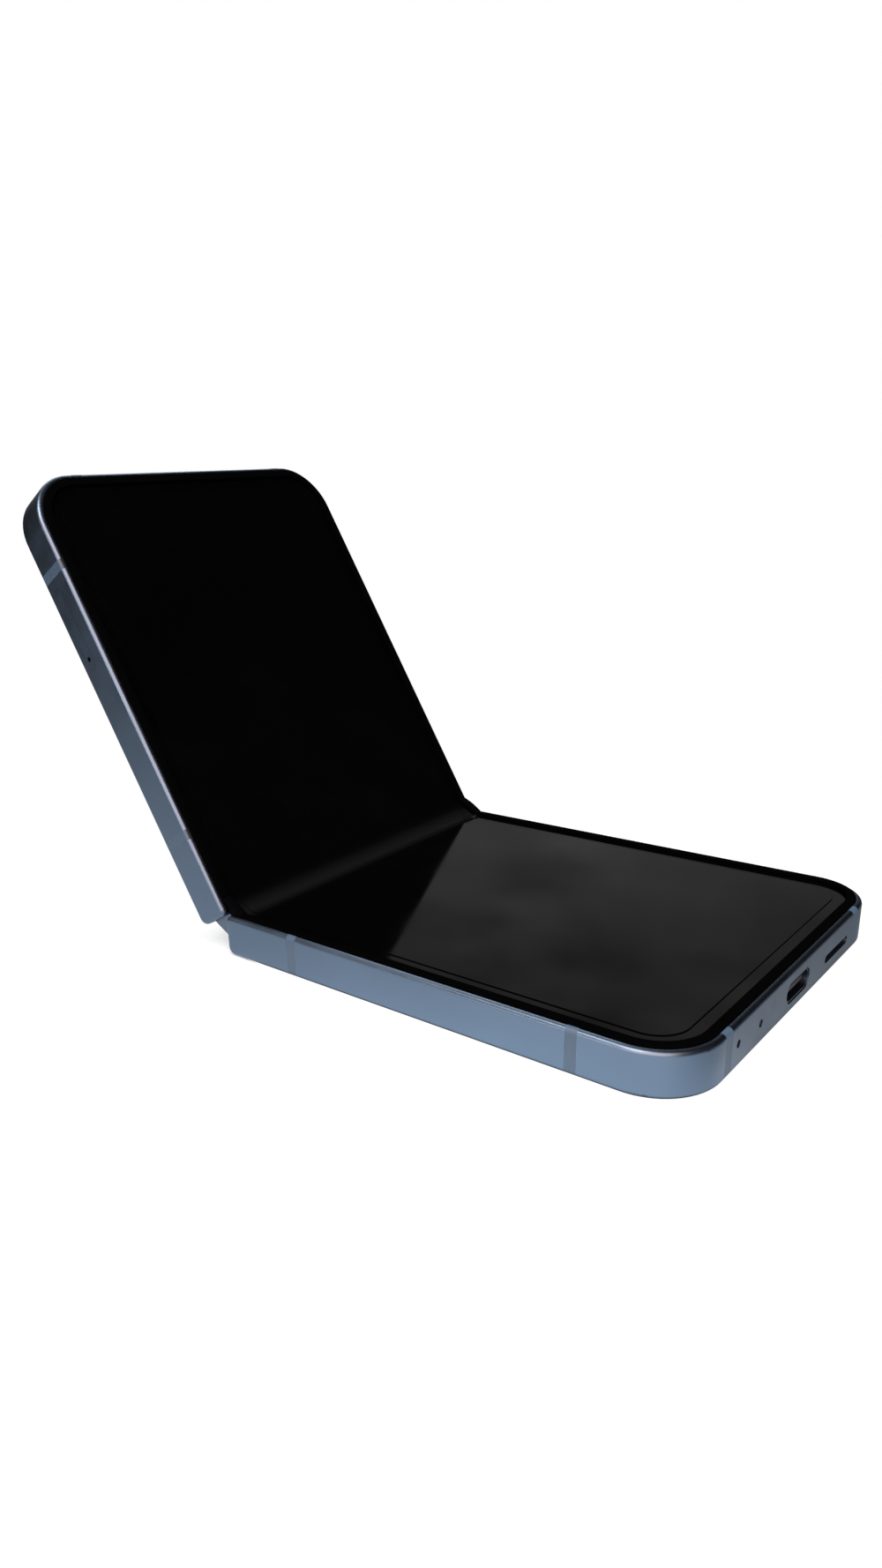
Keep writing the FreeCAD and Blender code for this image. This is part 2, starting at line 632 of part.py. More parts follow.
node("speaker_mesh", "lower",
     [slot_y(d.spk_mid, -d.spk_level, d.spk_long - 0.1, d.spk_high - 0.1, -d.half_len + 0.7, -d.half_len + 0.95)])
node("vibration_motor", "lower", [rounded_block(s, -31.0, -14.0, 67.0, 73.0, -6.1, -2.9, 0.8)])
mics = [box(-d.mic_a - 1.6, -d.mic_a + 1.6, -80.7, -76.6, -4.3, -2.72),
        box(-d.mic_b - 1.6, -d.mic_b + 1.6, -80.7, -76.6, -4.3, -2.72)]
node("bottom_microphones", "lower", mics)

# ---------------------------------------------------------------- upper half
s = 1
cams = [d.cam_a, d.cam_b]
glass = cut(plate(s, d.glass_inset + d.slack, 1.65, -d.thick, -d.thick + d.glass_thick),
            fuse([rod_z(x, d.cam_v, -9.0, -5.0, d.cam_rad + d.slack) for x in cams]
                 + [rod_z(17.0, 60.4, -9.0, -5.0, 1.9)]))
node("upper_back_glass", "upper", [glass])
rings, lenses, modules = [], [], []
for x in cams:
    low = -d.thick - d.cam_proud
    ring = cut(rod_z(x, d.cam_v, low, -5.9, d.cam_rad),
               fuse([rod_z(x, d.cam_v, low - 1, -7.0, d.cam_lens + d.slack),
                     rod_z(x, d.cam_v, -7.5, -5.0, 4.2)]))
    rings.append(soften(ring, lambda b, low=low.num: abs(b.ZMin - low) < 1e-4 and abs(b.ZMax - low) < 1e-4,
                        d.cam_round))
    lenses.append(rod_z(x, d.cam_v, low + 0.2, -7.0, d.cam_lens))
    modules.append(fuse([hbox(s, x - 5.0, x + 5.0, d.cam_v - 5, d.cam_v + 5, -5.85, -2.95),
                         rod_z(x, d.cam_v, -6.9, -5.5, 3.6)]))
node("camera_rings", "upper", rings)
node("camera_lenses", "upper", lenses)
node("rear_camera_modules", "upper", modules)
node("flash_lens", "upper", [rod_z(17.0, 60.4, -6.93, -6.2, 1.85)])
node("cover_display", "upper", [rounded_block(s, -32.5, 32.5, 8.5, 57.5, -6.33, -5.75, 3.0)])
node("upper_battery", "upper", [rounded_block(s, -31.0, 31.0, 15.0, 43.5, -5.65, -1.9, 1.5)])
board = cut(hbox(s, -32.0, 29.5, 45.0, 78.3, -2.75, -1.95), rod_z(0, 77.3, -4.0, 0.0, 3.0))
node("main_board", "upper", [board])
node("shield_cans", "upper", [rounded_block(s, -20.0, 2.0, 46.5, 59.5, -4.3, -2.78, 0.6),
                              rounded_block(s, 4.0, 28.0, 46.5, 57.5, -4.1, -2.78, 0.6),
                              rounded_block(s, -20.0, 2.0, 61.5, 72.5, -3.9, -2.78, 0.6)])
node("front_camera", "upper",
     [fuse([rod_z(0, 77.3, -4.6, -0.95, 2.3), hbox(s, -3.4, 3.4, 74.2, 80.4, -5.6, -4.4)])])
node("earpiece", "upper", [rounded_block(s, -17.0, -5.0, 75.5, 80.4, -5.6, -2.85, 0.8)])


def side_key(label, mid, long_, rocker):
    stem = slot_x(s, mid, -d.key_level, long_, d.key_high, inner_w - 0.4, half_w + d.key_proud)
    flange = hbox(s, inner_w - 0.95, inner_w - 0.25, mid - long_ / 2 - 0.7, mid + long_ / 2 + 0.7,
                  -d.key_level - 1.6, -d.key_level + 1.6)
    parts = [stem, flange]
    if rocker:
        # half-round rib on each face of the flange, the line the key rocks on
        parts.append(rod_z(inner_w - 0.6, mid, -d.key_level - 1.5, -d.key_level + 1.5, 0.45))
    face = (half_w + d.key_proud).num
    node(label, "upper", [soften(fuse(parts), lambda b: abs(b.XMin - face) < 1e-4 and abs(b.XMax - face) < 1e-4,
                                 d.key_round)])


side_key("power_key", d.power_mid, d.power_long, False)
side_key("volume_key", d.vol_mid, d.vol_long, True)
flex = hbox(s, inner_w - 1.75, inner_w - 1.5, 31.0, 67.0, -5.2, -2.9)
domes = [rod_x(inner_w - 1.55, inner_w - 1.3, v, -d.key_level - 0.3, 1.0)
         for v in (d.power_mid, d.vol_mid - 5.5, d.vol_mid + 5.5)]
node("side_key_switches", "upper", [fuse([flex] + domes)])
face = slot_x(s, d.sim_mid, -d.sim_level, d.sim_long, d.sim_high, -half_w, -half_w + 1.3)
deck = hbox(s, -half_w + 1.0, -23.0, d.sim_mid - 4.4, d.sim_mid + 6.6, -d.sim_level - 0.5, -d.sim_level + 0.5)
well = hbox(s, -33.2, -24.4, d.sim_mid - 3.2, d.sim_mid + 5.4, -d.sim_level - 0.2, -d.sim_level + 2)
pin = rod_x(-half_w - 1, -half_w + 3, d.sim_pin, -d.sim_level, 0.45)
node("sim_tray", "upper", [cut(fuse([face, deck]), fuse([well, pin]))])
socket = cut(hbox(s, -33.4, -21.6, d.sim_mid - 5.4, d.sim_mid + 7.6, -d.sim_level - 1.0, -d.sim_level + 1.0),
             hbox(s, -35.0, -22.4, d.sim_mid - 4.6, d.sim_mid + 6.8, -d.sim_level - 0.7, -d.sim_level + 0.7))
node("sim_socket", "upper", [socket])


# ---------------------------------------------------------------- spine
def stadium(x0, x1, rad):
    """Rounded trough section: one arc about each pivot and a flat between."""
    return fuse([rod_x(x0, x1, -d.pivot_off, -d.pivot_depth, rad),
                 rod_x(x0, x1, d.pivot_off, -d.pivot_depth, rad),
                 box(x0, x1, -d.pivot_off, d.pivot_off, -d.pivot_depth - rad, -d.pivot_depth)])


inside = d.spine_half - d.cap_thick
shell = cut(stadium(-inside, inside, d.spine_rad), stadium(-inside - 1, inside + 1, d.spine_rad - d.spine_wall))
node("spine_cover", "spine", [cut(shell, box(-40, 40, -8, 8, -d.spine_top, 8))])
caps = []
for x0, x1 in ((-d.spine_half, -inside), (inside, d.spine_half)):
    caps.append(cut(stadium(x0, x1, d.spine_rad), box(-40, 40, -8, 8, -1.3, 8)))
node("spine_end_caps", "spine", caps)
node("fold_support_plate", "spine", [box(-33.2, 33.2, -1.4, 1.4, -1.25, -0.97)])

fit = d.spine_rad - d.spine_wall - d.slack
blocks = []
for side in (1, -1):
    lo, hi = (20.5, 29.5) if side > 0 else (-29.5, -20.5)
    solid = cut(stadium(lo, hi, fit), box(-40, 40, -8, 8, -2.35, 8))
    posts = [box(lo, lo + 0.8, -1.2, 1.2, -2.6, -1.27), box(hi - 0.8, hi, -1.2, 1.2, -2.6, -1.27)]
    grooves = []
    for sg in (-1, 1):
        a, b = [p for p in ARM_SPANS[sg] if p[0] * side > 0][0]
        grooves.append(cut(rod_x(a - 0.1, b + 0.1, d.pivot_off * sg, -d.pivot_depth, d.rail_out + d.groove_gap),
                           rod_x(a - 1.0, b + 1.0, d.pivot_off * sg, -d.pivot_depth, d.rail_in - d.groove_gap)))
    blocks.append(cut(fuse([solid] + posts), fuse(grooves)))
node("hinge_brackets", "spine", blocks)

shafts = [(-d.gear_outer.num, OUT_LOW, OUTER_TEETH, -4.0, 1.0, "sync_gear_lower"),
          (-d.gear_inner.num, IN_LOW, INNER_TEETH, -1.0, 1.0, "idler_gear_lower"),
          (d.gear_inner.num, IN_UP, INNER_TEETH, -1.0, 1.0, "idler_gear_upper"),
          (d.gear_outer.num, OUT_UP, OUTER_TEETH, -1.0, 4.0, "sync_gear_upper")]
walls = []
for lo, hi in ((-6.2, -5.2), (5.2, 6.2)):
    walls.append(cut(stadium(lo, hi, fit), box(-40, 40, -8, 8, -2.35, 8)))
    walls.append(box(lo, hi, -1.2, 1.2, -2.6, -1.27))
for y0, y1 in ((-3.8, -3.25), (3.25, 3.8)):
    walls.append(box(-5.5, 5.5, y0, y1, -3.8, -3.2))
bores = [rod_x(-7.0, 7.0, y, -d.gear_z, 0.36) for y, _f, _n, _a, _b, _l in shafts]
node("sync_bracket", "spine", [cut(fuse(walls), fuse(bores))])
for y, first, teeth, x0, x1, label in shafts:
    g = prism(gear_wire(teeth, MOD, first, y, GZ), x0, x1)
    g = g.fuse(Part.makeCylinder(0.32, 11.9, V3(-5.95, y, GZ), V3(1, 0, 0))).removeSplitter()
    shape_node(label, "spine", [g])

# ---------------------------------------------------------------- flexible pieces across the fold
hp = (half_w - d.panel_inset).num
shape_node("display_fold", "spine", [bent_strip(-hp, hp, d.fold_half.num, -d.tray_depth.num, -d.panel_top.num)])
cap0, cap1 = (half_w - d.bezel_in).num, (half_w - d.tray_inset - d.slack).num


def soft_bridge(x0, x1):
    """Soft bar between the ends of the two bezels, at rest, in the spine's frame: crowned top, flat underside."""
    end, low = d.bridge_end.num, d.bridge_low.num
    a, b = V3(x0, -end, d.bridge_top.num - d.bridge_crown.num), V3(x0, end, d.bridge_top.num - d.bridge_crown.num)
    c, e = V3(x0, end + d.bridge_splay.num, low), V3(x0, -end - d.bridge_splay.num, low)
    wire = Part.Wire([Part.Arc(a, V3(x0, 0, d.bridge_top.num), b).toShape(), Part.makeLine(b, c), Part.makeLine(c, e), Part.makeLine(e, a)])
    solid = Part.Face(wire).extrude(V3(x1 - x0, 0, 0))
    long_ = [g for g in solid.Edges if g.BoundBox.XMax - g.BoundBox.XMin < 1e-4 and g.BoundBox.ZMin > d.bridge_top.num - d.bridge_crown.num - 1e-4]
    return solid.makeFillet(d.bridge_round.num, long_)


shape_node("fold_caps", "spine", [soft_bridge(cap0, cap1), soft_bridge(-cap1, -cap0)])


def ribbon(x0, x1, half):
    """Flat cable through the spine, at rest, in the spine's frame."""
    def from_half(v, z):
        a = math.radians(TH)
        t, h = v - PO, z + PD
        return (PO + t * math.cos(a) - h * math.sin(a), -PD + t * math.sin(a) + h * math.cos(a))
    side = [(0.0, -3.9), (1.3, -3.8), (2.6, -3.2), (3.9, -2.2), from_half(5.2, -1.75), from_half(6.4, -1.95),
            from_half(8.0, -2.6), from_half(10.0, -2.7)]
    pts = [V3(x0, -t, z) for t, z in reversed(side)] + [V3(x0, t, z) for t, z in side[1:]]
    c = Part.BSplineCurve()
    c.interpolate(pts)
    n = 40
    a0, a1 = c.FirstParameter, c.LastParameter
    top, low = [], []
    for i in range(n + 1):
        u = a0 + (a1 - a0) * i / float(n)
        p, tan = c.value(u), c.tangent(u)[0]
        nrm = V3(0, -tan.z, tan.y)
        top.append(p + nrm * half)
        low.append(p - nrm * half)
    e = []
    for line in (top, low):
        k = Part.BSplineCurve()
        k.interpolate(line)
        e.append(k.toShape())
    e.append(Part.makeLine(top[0], low[0]))
    e.append(Part.makeLine(top[-1], low[-1]))
    return Part.Face(Part.Wire(Part.__sortEdges__(e))).extrude(V3(x1 - x0, 0, 0))


shape_node("hinge_flex_cable", "spine", [ribbon(9.0, 15.5, 0.07)])

# ---------------------------------------------------------------- set down, check, write
doc.recompute()
for obj, where in NODES:
    obj.Placement = WHERE[where]
doc.recompute()
for obj in doc.Objects:
    if "Invalid" in obj.State or "Error" in obj.State:
        raise RuntimeError("%s (%s) did not compute: %s" % (obj.Name, obj.Label, obj.State))
for obj, where in NODES:
    shape = obj.Shape
    if shape.isNull() or not shape.isValid() or not shape.Solids:
        raise RuntimeError("%s has no valid shape" % obj.Label)
for old in os.listdir("parts"):
    if old.endswith(".step"):
        os.remove(os.path.join("parts", old))
for obj, where in NODES:
    obj.Shape.exportStep("parts/%s.step" % obj.Label)
    b = obj.Shape.optimalBoundingBox()
    print("%-22s %d solid(s) %9.2f mm3  x %.2f..%.2f y %.2f..%.2f z %.2f..%.2f" % (
        obj.Label, len(obj.Shape.Solids), obj.Shape.Volume, b.XMin, b.XMax, b.YMin, b.YMax, b.ZMin, b.ZMax))
print(len(NODES), "pieces")
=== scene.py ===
import bpy
import bmesh
import json
import math
import numpy as np
from mathutils import Matrix, Vector


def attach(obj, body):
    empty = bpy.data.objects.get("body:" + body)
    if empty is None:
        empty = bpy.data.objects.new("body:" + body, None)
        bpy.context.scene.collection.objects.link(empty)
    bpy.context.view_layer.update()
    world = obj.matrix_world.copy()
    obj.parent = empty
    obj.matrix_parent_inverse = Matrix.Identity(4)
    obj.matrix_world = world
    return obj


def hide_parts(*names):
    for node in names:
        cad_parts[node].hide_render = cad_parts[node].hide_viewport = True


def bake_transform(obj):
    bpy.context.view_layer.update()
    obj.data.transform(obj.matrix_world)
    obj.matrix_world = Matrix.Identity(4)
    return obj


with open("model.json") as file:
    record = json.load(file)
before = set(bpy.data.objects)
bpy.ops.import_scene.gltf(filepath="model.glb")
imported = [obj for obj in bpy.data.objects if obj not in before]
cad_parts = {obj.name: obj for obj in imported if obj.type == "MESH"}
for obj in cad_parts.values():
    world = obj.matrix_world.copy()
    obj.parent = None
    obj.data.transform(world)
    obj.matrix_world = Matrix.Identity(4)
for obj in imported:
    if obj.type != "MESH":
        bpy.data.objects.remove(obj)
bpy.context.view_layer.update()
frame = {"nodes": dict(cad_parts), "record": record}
NODES = frame["nodes"]
MM = 0.001

# ---------------------------------------------------------------- sizes shared with the CAD, in mm
HALF_LEN, THICK, HALF_W = 82.55, 6.9, 35.95
TH = math.radians(29.66)
LIFT = np.array([41.275, 6.9])                       # (y, z) of the fold line above the table, flat
P_LOW = np.array([39.575, 5.75])                     # lower pivot, row frame
P_SP = np.array([-1.7, -1.15])                       # lower pivot, spine frame


def turn2(p, a):
    """Rotate (y, z) pairs by a (number or array)."""
    c, s = np.cos(a), np.sin(a)
    return np.stack([p[..., 0] * c - p[..., 1] * s, p[..., 0] * s + p[..., 1] * c], -1)


def spine_to_row(q):
    return P_LOW + turn2(q - P_SP, TH)


def lower_rest(v, z, start, end):
    """Rest place, in the row frame, of a flexible piece of the lower half drawn flat at (v, z)."""
    flat = np.stack([LIFT[0] - v, LIFT[1] + z], -1)
    d = end - start
    lo, hi = np.zeros(len(v)), np.ones(len(v))
    for _ in range(50):
        mid = (lo + hi) / 2
        co = P_LOW + turn2(flat - P_LOW, mid * TH)
        t = np.clip(((co - start) @ d) / (d @ d), 0, 1)
        w = t * t * (3 - 2 * t)
        up = w > mid
        lo, hi = np.where(up, mid, lo), np.where(up, hi, mid)
    w = (lo + hi) / 2
    w = np.where(w < 1e-9, 0.0, w)
    return P_LOW + turn2(flat - P_LOW, w * TH)


def blend_ends(v0, z0, v1, z1):
    """Row-frame points where a flexible piece leaves the lower half and where it joins the spine."""
    start = np.array([LIFT[0] - v0, LIFT[1] + z0])
    end = P_LOW + turn2(np.array([LIFT[0] - v1, LIFT[1] + z1]) - P_LOW, TH)
    return start, end


def mirror_row(q):
    """Lower rest place to the matching upper one: mirrored about the middle of the spine."""
    s = P_SP + turn2(q - P_LOW, -TH)
    s = s * np.array([-1.0, 1.0])
    return spine_to_row(s)


def new_mesh(name, verts, faces, material, smooth=True, rim=None, rim_faces=()):
    me = bpy.data.meshes.new(name)
    me.from_pydata([tuple(v) for v in verts], [], [tuple(f) for f in faces])
    me.validate(clean_customdata=False)
    bm = bmesh.new()
    bm.from_mesh(me)
    bmesh.ops.recalc_face_normals(bm, faces=bm.faces)
    for f in bm.faces:
        f.smooth = smooth
    for e in bm.edges:
        e.smooth = len(e.link_faces) == 2 and e.calc_face_angle(0.0) < math.radians(50)
    bm.to_mesh(me)
    bm.free()
    me.materials.append(material)
    if rim:
        me.materials.append(rim)
        for i in rim_faces:
            me.polygons[i].material_index = 1
    ob = bpy.data.objects.new(name, me)
    bpy.context.scene.collection.objects.link(ob)
    return ob


# ---------------------------------------------------------------- materials
def mat_base(name):
    m = bpy.data.materials.new(name)
    m.use_nodes = True
    nt = m.node_tree
    nt.nodes.clear()
    out = nt.nodes.new("ShaderNodeOutputMaterial")
    b = nt.nodes.new("ShaderNodeBsdfPrincipled")
    nt.links.new(b.outputs["BSDF"], out.inputs["Surface"])
    tc = nt.nodes.new("ShaderNodeTexCoord")
    return m, nt, b, tc.outputs["Object"]


def noise(nt, co, scale, detail=3.0, rough=0.5, stretch=None):
    n = nt.nodes.new("ShaderNodeTexNoise")
    n.inputs["Scale"].default_value = scale
    n.inputs["Detail"].default_value = detail
    n.inputs["Roughness"].default_value = rough
    if stretch:
        mp = nt.nodes.new("ShaderNodeMapping")
        mp.inputs["Scale"].default_value = stretch
        nt.links.new(co, mp.inputs["Vector"])
        co = mp.outputs["Vector"]
    nt.links.new(co, n.inputs["Vector"])
    return n.outputs["Fac"]


def ramp(nt, fac, stops):
    r = nt.nodes.new("ShaderNodeValToRGB")
    e = r.color_ramp.elements
    while len(e) < len(stops):
        e.new(0.5)
    for el, (p, c) in zip(e, stops):
        el.position = p
        el.color = c if len(c) == 4 else (*c, 1.0)
    nt.links.new(fac, r.inputs["Fac"])
    return r.outputs["Color"]


def span(nt, fac, lo, hi, a=0.0, b=1.0):
    r = nt.nodes.new("ShaderNodeMapRange")
    r.inputs["From Min"].default_value = a
    r.inputs["From Max"].default_value = b
    r.inputs["To Min"].default_value = lo
    r.inputs["To Max"].default_value = hi
    nt.links.new(fac, r.inputs["Value"])
    return r.outputs["Result"]


def mix(nt, fac, a, b):
    m = nt.nodes.new("ShaderNodeMix")
    m.data_type = "RGBA"
    nt.links.new(fac, m.inputs["Factor"])
    for sock, val in (("A", a), ("B", b)):
        s = [i for i in m.inputs if i.name == sock and i.type == "RGBA"][0]
        if isinstance(val, tuple):
            s.default_value = (*val, 1.0) if len(val) == 3 else val
        else:
            nt.links.new(val, s)
    return [o for o in m.outputs if o.type == "RGBA"][0]


def math_node(nt, op, a, b):
    n = nt.nodes.new("ShaderNodeMath")
    n.operation = op
    for i, v in enumerate((a, b)):
        if isinstance(v, (int, float)):
            n.inputs[i].default_value = v
        else:
            nt.links.new(v, n.inputs[i])
    return n.outputs[0]


def bump(nt, b, height, strength, distance, normal=None):
    n = nt.nodes.new("ShaderNodeBump")
    n.inputs["Strength"].default_value = strength
    n.inputs["Distance"].default_value = distance
    nt.links.new(height, n.inputs["Height"])
    if normal is not None:
        nt.links.new(normal, n.inputs["Normal"])
    nt.links.new(n.outputs["Normal"], b.inputs["Normal"])
    return n.outputs["Normal"]


def edge_mask(nt, radius):
    """1 on sharp or tightly rounded edges, 0 on flats."""
    bv = nt.nodes.new("ShaderNodeBevel")
    bv.samples = 4
    bv.inputs["Radius"].default_value = radius
    geo = nt.nodes.new("ShaderNodeNewGeometry")
    dot = nt.nodes.new("ShaderNodeVectorMath")
    dot.operation = "DOT_PRODUCT"
    nt.links.new(bv.outputs["Normal"], dot.inputs[0])
    nt.links.new(geo.outputs["Normal"], dot.inputs[1])
    return span(nt, dot.outputs["Value"], 1.0, 0.0, 0.86, 0.995)


def anodised(name, col, rough=0.36, metallic=1.0):
    """Fine-blasted, dyed aluminium: soft grain, faint cloudiness, small marks and rubbed edges."""
    m, nt, b, co = mat_base(name)
    tone = noise(nt, co, 45.0, 3.0, 0.55)
    base = ramp(nt, tone, [(0.25, tuple(c * 0.94 for c in col)), (0.75, tuple(min(1, c * 1.05) for c in col))])
    vor = nt.nodes.new("ShaderNodeTexVoronoi")
    vor.inputs["Scale"].default_value = 85.0
    vor.inputs["Randomness"].default_value = 1.0
    nt.links.new(co, vor.inputs["Vector"])
    nick = span(nt, vor.outputs["Distance"], 1.0, 0.0, 0.012, 0.024)
    base = mix(nt, math_node(nt, "MULTIPLY", nick, 0.55), base, tuple(c * 0.28 for c in col))
    rub = math_node(nt, "MULTIPLY", edge_mask(nt, 0.00022), span(nt, noise(nt, co, 420.0, 3.0, 0.6), 0.0, 0.5, 0.5, 0.72))
    base = mix(nt, rub, base, tuple(min(1.0, c * 1.35 + 0.05) for c in col))
    nt.links.new(base, b.inputs["Base Color"])
    b.inputs["Metallic"].default_value = metallic
    cloud = noise(nt, co, 160.0, 4.0, 0.6)
    nt.links.new(span(nt, cloud, rough - 0.045, rough + 0.05, 0.3, 0.7), b.inputs["Roughness"])
    b.inputs["Coat Weight"].default_value = 0.22
    b.inputs["Coat Roughness"].default_value = 0.34
    b.inputs["Coat IOR"].default_value = 1.6
    grain = noise(nt, co, 7500.0, 2.0, 0.6)
    bump(nt, b, grain, 0.11, 0.00003)
    return m


def plastic(name, col, rough, grain_scale=2600.0, grain=0.1, ior=1.5, vary=0.08, gloss=0.5, top_shade=None):
    """Moulded plastic; an optional (point, normal) of a face darkens the colour next to that face, as painted shade.
    """
    m, nt, b, co = mat_base(name)
    tone = noise(nt, co, 110.0, 4.0, 0.55)
    base = ramp(nt, tone, [(0.3, tuple(c * (1 - vary) for c in col)), (0.7, tuple(c * (1 + vary) for c in col))])
    # painted shade: the colour falls to 6 % within 0.12 mm below the given face, fading in from 0.34 mm
    if top_shade:
        d = nt.nodes.new("ShaderNodeVectorMath")
        d.operation = "DOT_PRODUCT"
        d.inputs[1].default_value = top_shade[1]
        nt.links.new(co, d.inputs[0])
        base = mix(nt, span(nt, d.outputs["Value"], 0.0, 1.0, top_shade[0].dot(top_shade[1]) - 0.00034, top_shade[0].dot(top_shade[1]) - 0.00012),
                   base, tuple(c * 0.06 for c in col))
    nt.links.new(base, b.inputs["Base Color"])
    b.inputs["IOR"].default_value = ior
    b.inputs["Specular IOR Level"].default_value = gloss
    nt.links.new(span(nt, noise(nt, co, 300.0, 3.0, 0.6), rough - 0.05, rough + 0.06, 0.3, 0.7), b.inputs["Roughness"])
    bump(nt, b, noise(nt, co, grain_scale, 2.0, 0.6), grain, 0.00003)
    return m


def screen_glass(name, col=(0.0005, 0.0005, 0.0006), rough=0.055, waves=0.035):
    """Switched-off flexible screen: deep black under a glossy film, with faint finger haze; along the fold the colour
    is lifted as painted sheen and the film is rougher.
    """
    m, nt, b, co = mat_base(name)
    haze = noise(nt, co, 38.0, 5.0, 0.62, stretch=(1.0, 0.7, 1.0))
    wipe = noise(nt, co, 120.0, 3.0, 0.5, stretch=(0.5, 1.6, 1.2))
    smear = math_node(nt, "MULTIPLY", span(nt, haze, 0.0, 1.0, 0.42, 0.72), span(nt, wipe, 0.45, 1.0, 0.3, 0.7))
    fold = nt.nodes.new("ShaderNodeAttribute")
    fold.attribute_name = "crease"
    fold = fold.outputs["Fac"]
    base = mix(nt, smear, col, tuple(c * 1.6 + 0.0003 for c in col))
    # painted sheen: the colour along the fold is lifted to 0.0047, and the roughness rises there too
    nt.links.new(mix(nt, fold, base, (0.0047, 0.0047, 0.0047)), b.inputs["Base Color"])
    nt.links.new(math_node(nt, "ADD", span(nt, smear, rough, rough + 0.085), math_node(nt, "MULTIPLY", fold, 0.22)),
                 b.inputs["Roughness"])
    b.inputs["IOR"].default_value = 1.49
    b.inputs["Specular IOR Level"].default_value = 0.44
    bump(nt, b, noise(nt, co, 95.0, 2.0, 0.4), waves, 0.00012)
    return m


def glass_back(name, col, rough, ior=1.5, sparkle=0.06):
    """Colour-backed cover glass: the tint sits under a clear, slightly uneven surface."""
    m, nt, b, co = mat_base(name)
    tone = noise(nt, co, 30.0, 3.0, 0.5)
    base = ramp(nt, tone, [(0.3, tuple(c * 0.95 for c in col)), (0.7, tuple(c * 1.05 for c in col))])
    fleck = noise(nt, co, 5200.0, 1.0, 0.5)
    base = mix(nt, math_node(nt, "MULTIPLY", span(nt, fleck, 0.0, 1.0, 0.62, 0.78), sparkle), base,
               tuple(min(1, c * 2.2 + 0.06) for c in col))
    nt.links.new(base, b.inputs["Base Color"])
    b.inputs["Metallic"].default_value = 0.25
    b.inputs["IOR"].default_value = ior
    haze = noise(nt, co, 55.0, 4.0, 0.6)
    nt.links.new(span(nt, haze, rough - 0.04, rough + 0.08, 0.35, 0.7), b.inputs["Roughness"])
    b.inputs["Coat Weight"].default_value = 0.35
    b.inputs["Coat Roughness"].default_value = max(0.03, rough * 0.6)
    bump(nt, b, noise(nt, co, 900.0, 2.0, 0.5), 0.03, 0.00003)
    return m


def steel(name, col=(0.52, 0.52, 0.53), rough=0.34, along=(1.0, 22.0, 22.0)):
    """Stamped, lightly brushed steel."""
    m, nt, b, co = mat_base(name)
    line = noise(nt, co, 900.0, 3.0, 0.6, stretch=along)
    nt.links.new(ramp(nt, line, [(0.3, tuple(c * 0.86 for c in col)), (0.7, tuple(min(1, c * 1.08) for c in col))]),
                 b.inputs["Base Color"])
    b.inputs["Metallic"].default_value = 1.0
    nt.links.new(span(nt, line, rough - 0.06, rough + 0.1, 0.3, 0.7), b.inputs["Roughness"])
    bump(nt, b, line, 0.08, 0.00002)
    return m


def lens_coat(name):
    """Coated optical glass: near black, with a violet to green painted reflection of the coating, picked by the facing
    angle.
    """
    m, nt, b, co = mat_base(name)
    lw = nt.nodes.new("ShaderNodeLayerWeight")
    lw.inputs["Blend"].default_value = 0.35
    # painted reflection: the colour is chosen by the facing angle to the viewer
    tint = ramp(nt, lw.outputs["Facing"], [(0.0, (0.012, 0.006, 0.03)), (0.45, (0.02, 0.012, 0.06)), (0.8, (0.006, 0.03, 0.024))])
    speck = noise(nt, co, 1800.0, 2.0, 0.5)
    nt.links.new(mix(nt, span(nt, speck, 0.0, 0.25, 0.66, 0.8), tint, (0.03, 0.03, 0.035)), b.inputs["Base Color"])
    b.inputs["IOR"].default_value = 1.75
    nt.links.new(span(nt, noise(nt, co, 260.0, 3.0, 0.5), 0.02, 0.07, 0.3, 0.7), b.inputs["Roughness"])
    return m


def circuit(name, col, line):
    """Solder mask with faint traces."""
    m, nt, b, co = mat_base(name)
    br = nt.nodes.new("ShaderNodeTexBrick")
    br.inputs["Scale"].default_value = 420.0
    br.inputs["Mortar Size"].default_value = 0.06
    br.inputs["Color1"].default_value = (*col, 1)
    br.inputs["Color2"].default_value = (*[c * 0.8 for c in col], 1)
    br.inputs["Mortar"].default_value = (*line, 1)
    nt.links.new(co, br.inputs["Vector"])
    nt.links.new(br.outputs["Color"], b.inputs["Base Color"])
    nt.links.new(span(nt, noise(nt, co, 700.0), 0.35, 0.55, 0.3, 0.7), b.inputs["Roughness"])
    bump(nt, b, br.outputs["Fac"], 0.2, 0.00003)
    return m


def wound_wire(name, col, centre):
    """Flat spiral of copper wire about a centre."""
    m, nt, b, co = mat_base(name)
    mp = nt.nodes.new("ShaderNodeMapping")
    mp.inputs["Location"].default_value = (-centre[0], -centre[1], 0.0)
    nt.links.new(co, mp.inputs["Vector"])
    w = nt.nodes.new("ShaderNodeTexWave")
    w.wave_type = "RINGS"
    w.rings_direction = "Z"
    w.inputs["Scale"].default_value = 330.0
    nt.links.new(mp.outputs["Vector"], w.inputs["Vector"])
    nt.links.new(ramp(nt, w.outputs["Fac"], [(0.0, tuple(c * 0.25 for c in col)), (0.6, col)]), b.inputs["Base Color"])
    b.inputs["Metallic"].default_value = 0.9
    nt.links.new(span(nt, noise(nt, co, 900.0), 0.28, 0.42, 0.3, 0.7), b.inputs["Roughness"])
    bump(nt, b, w.outputs["Fac"], 0.5, 0.0001)
    return m


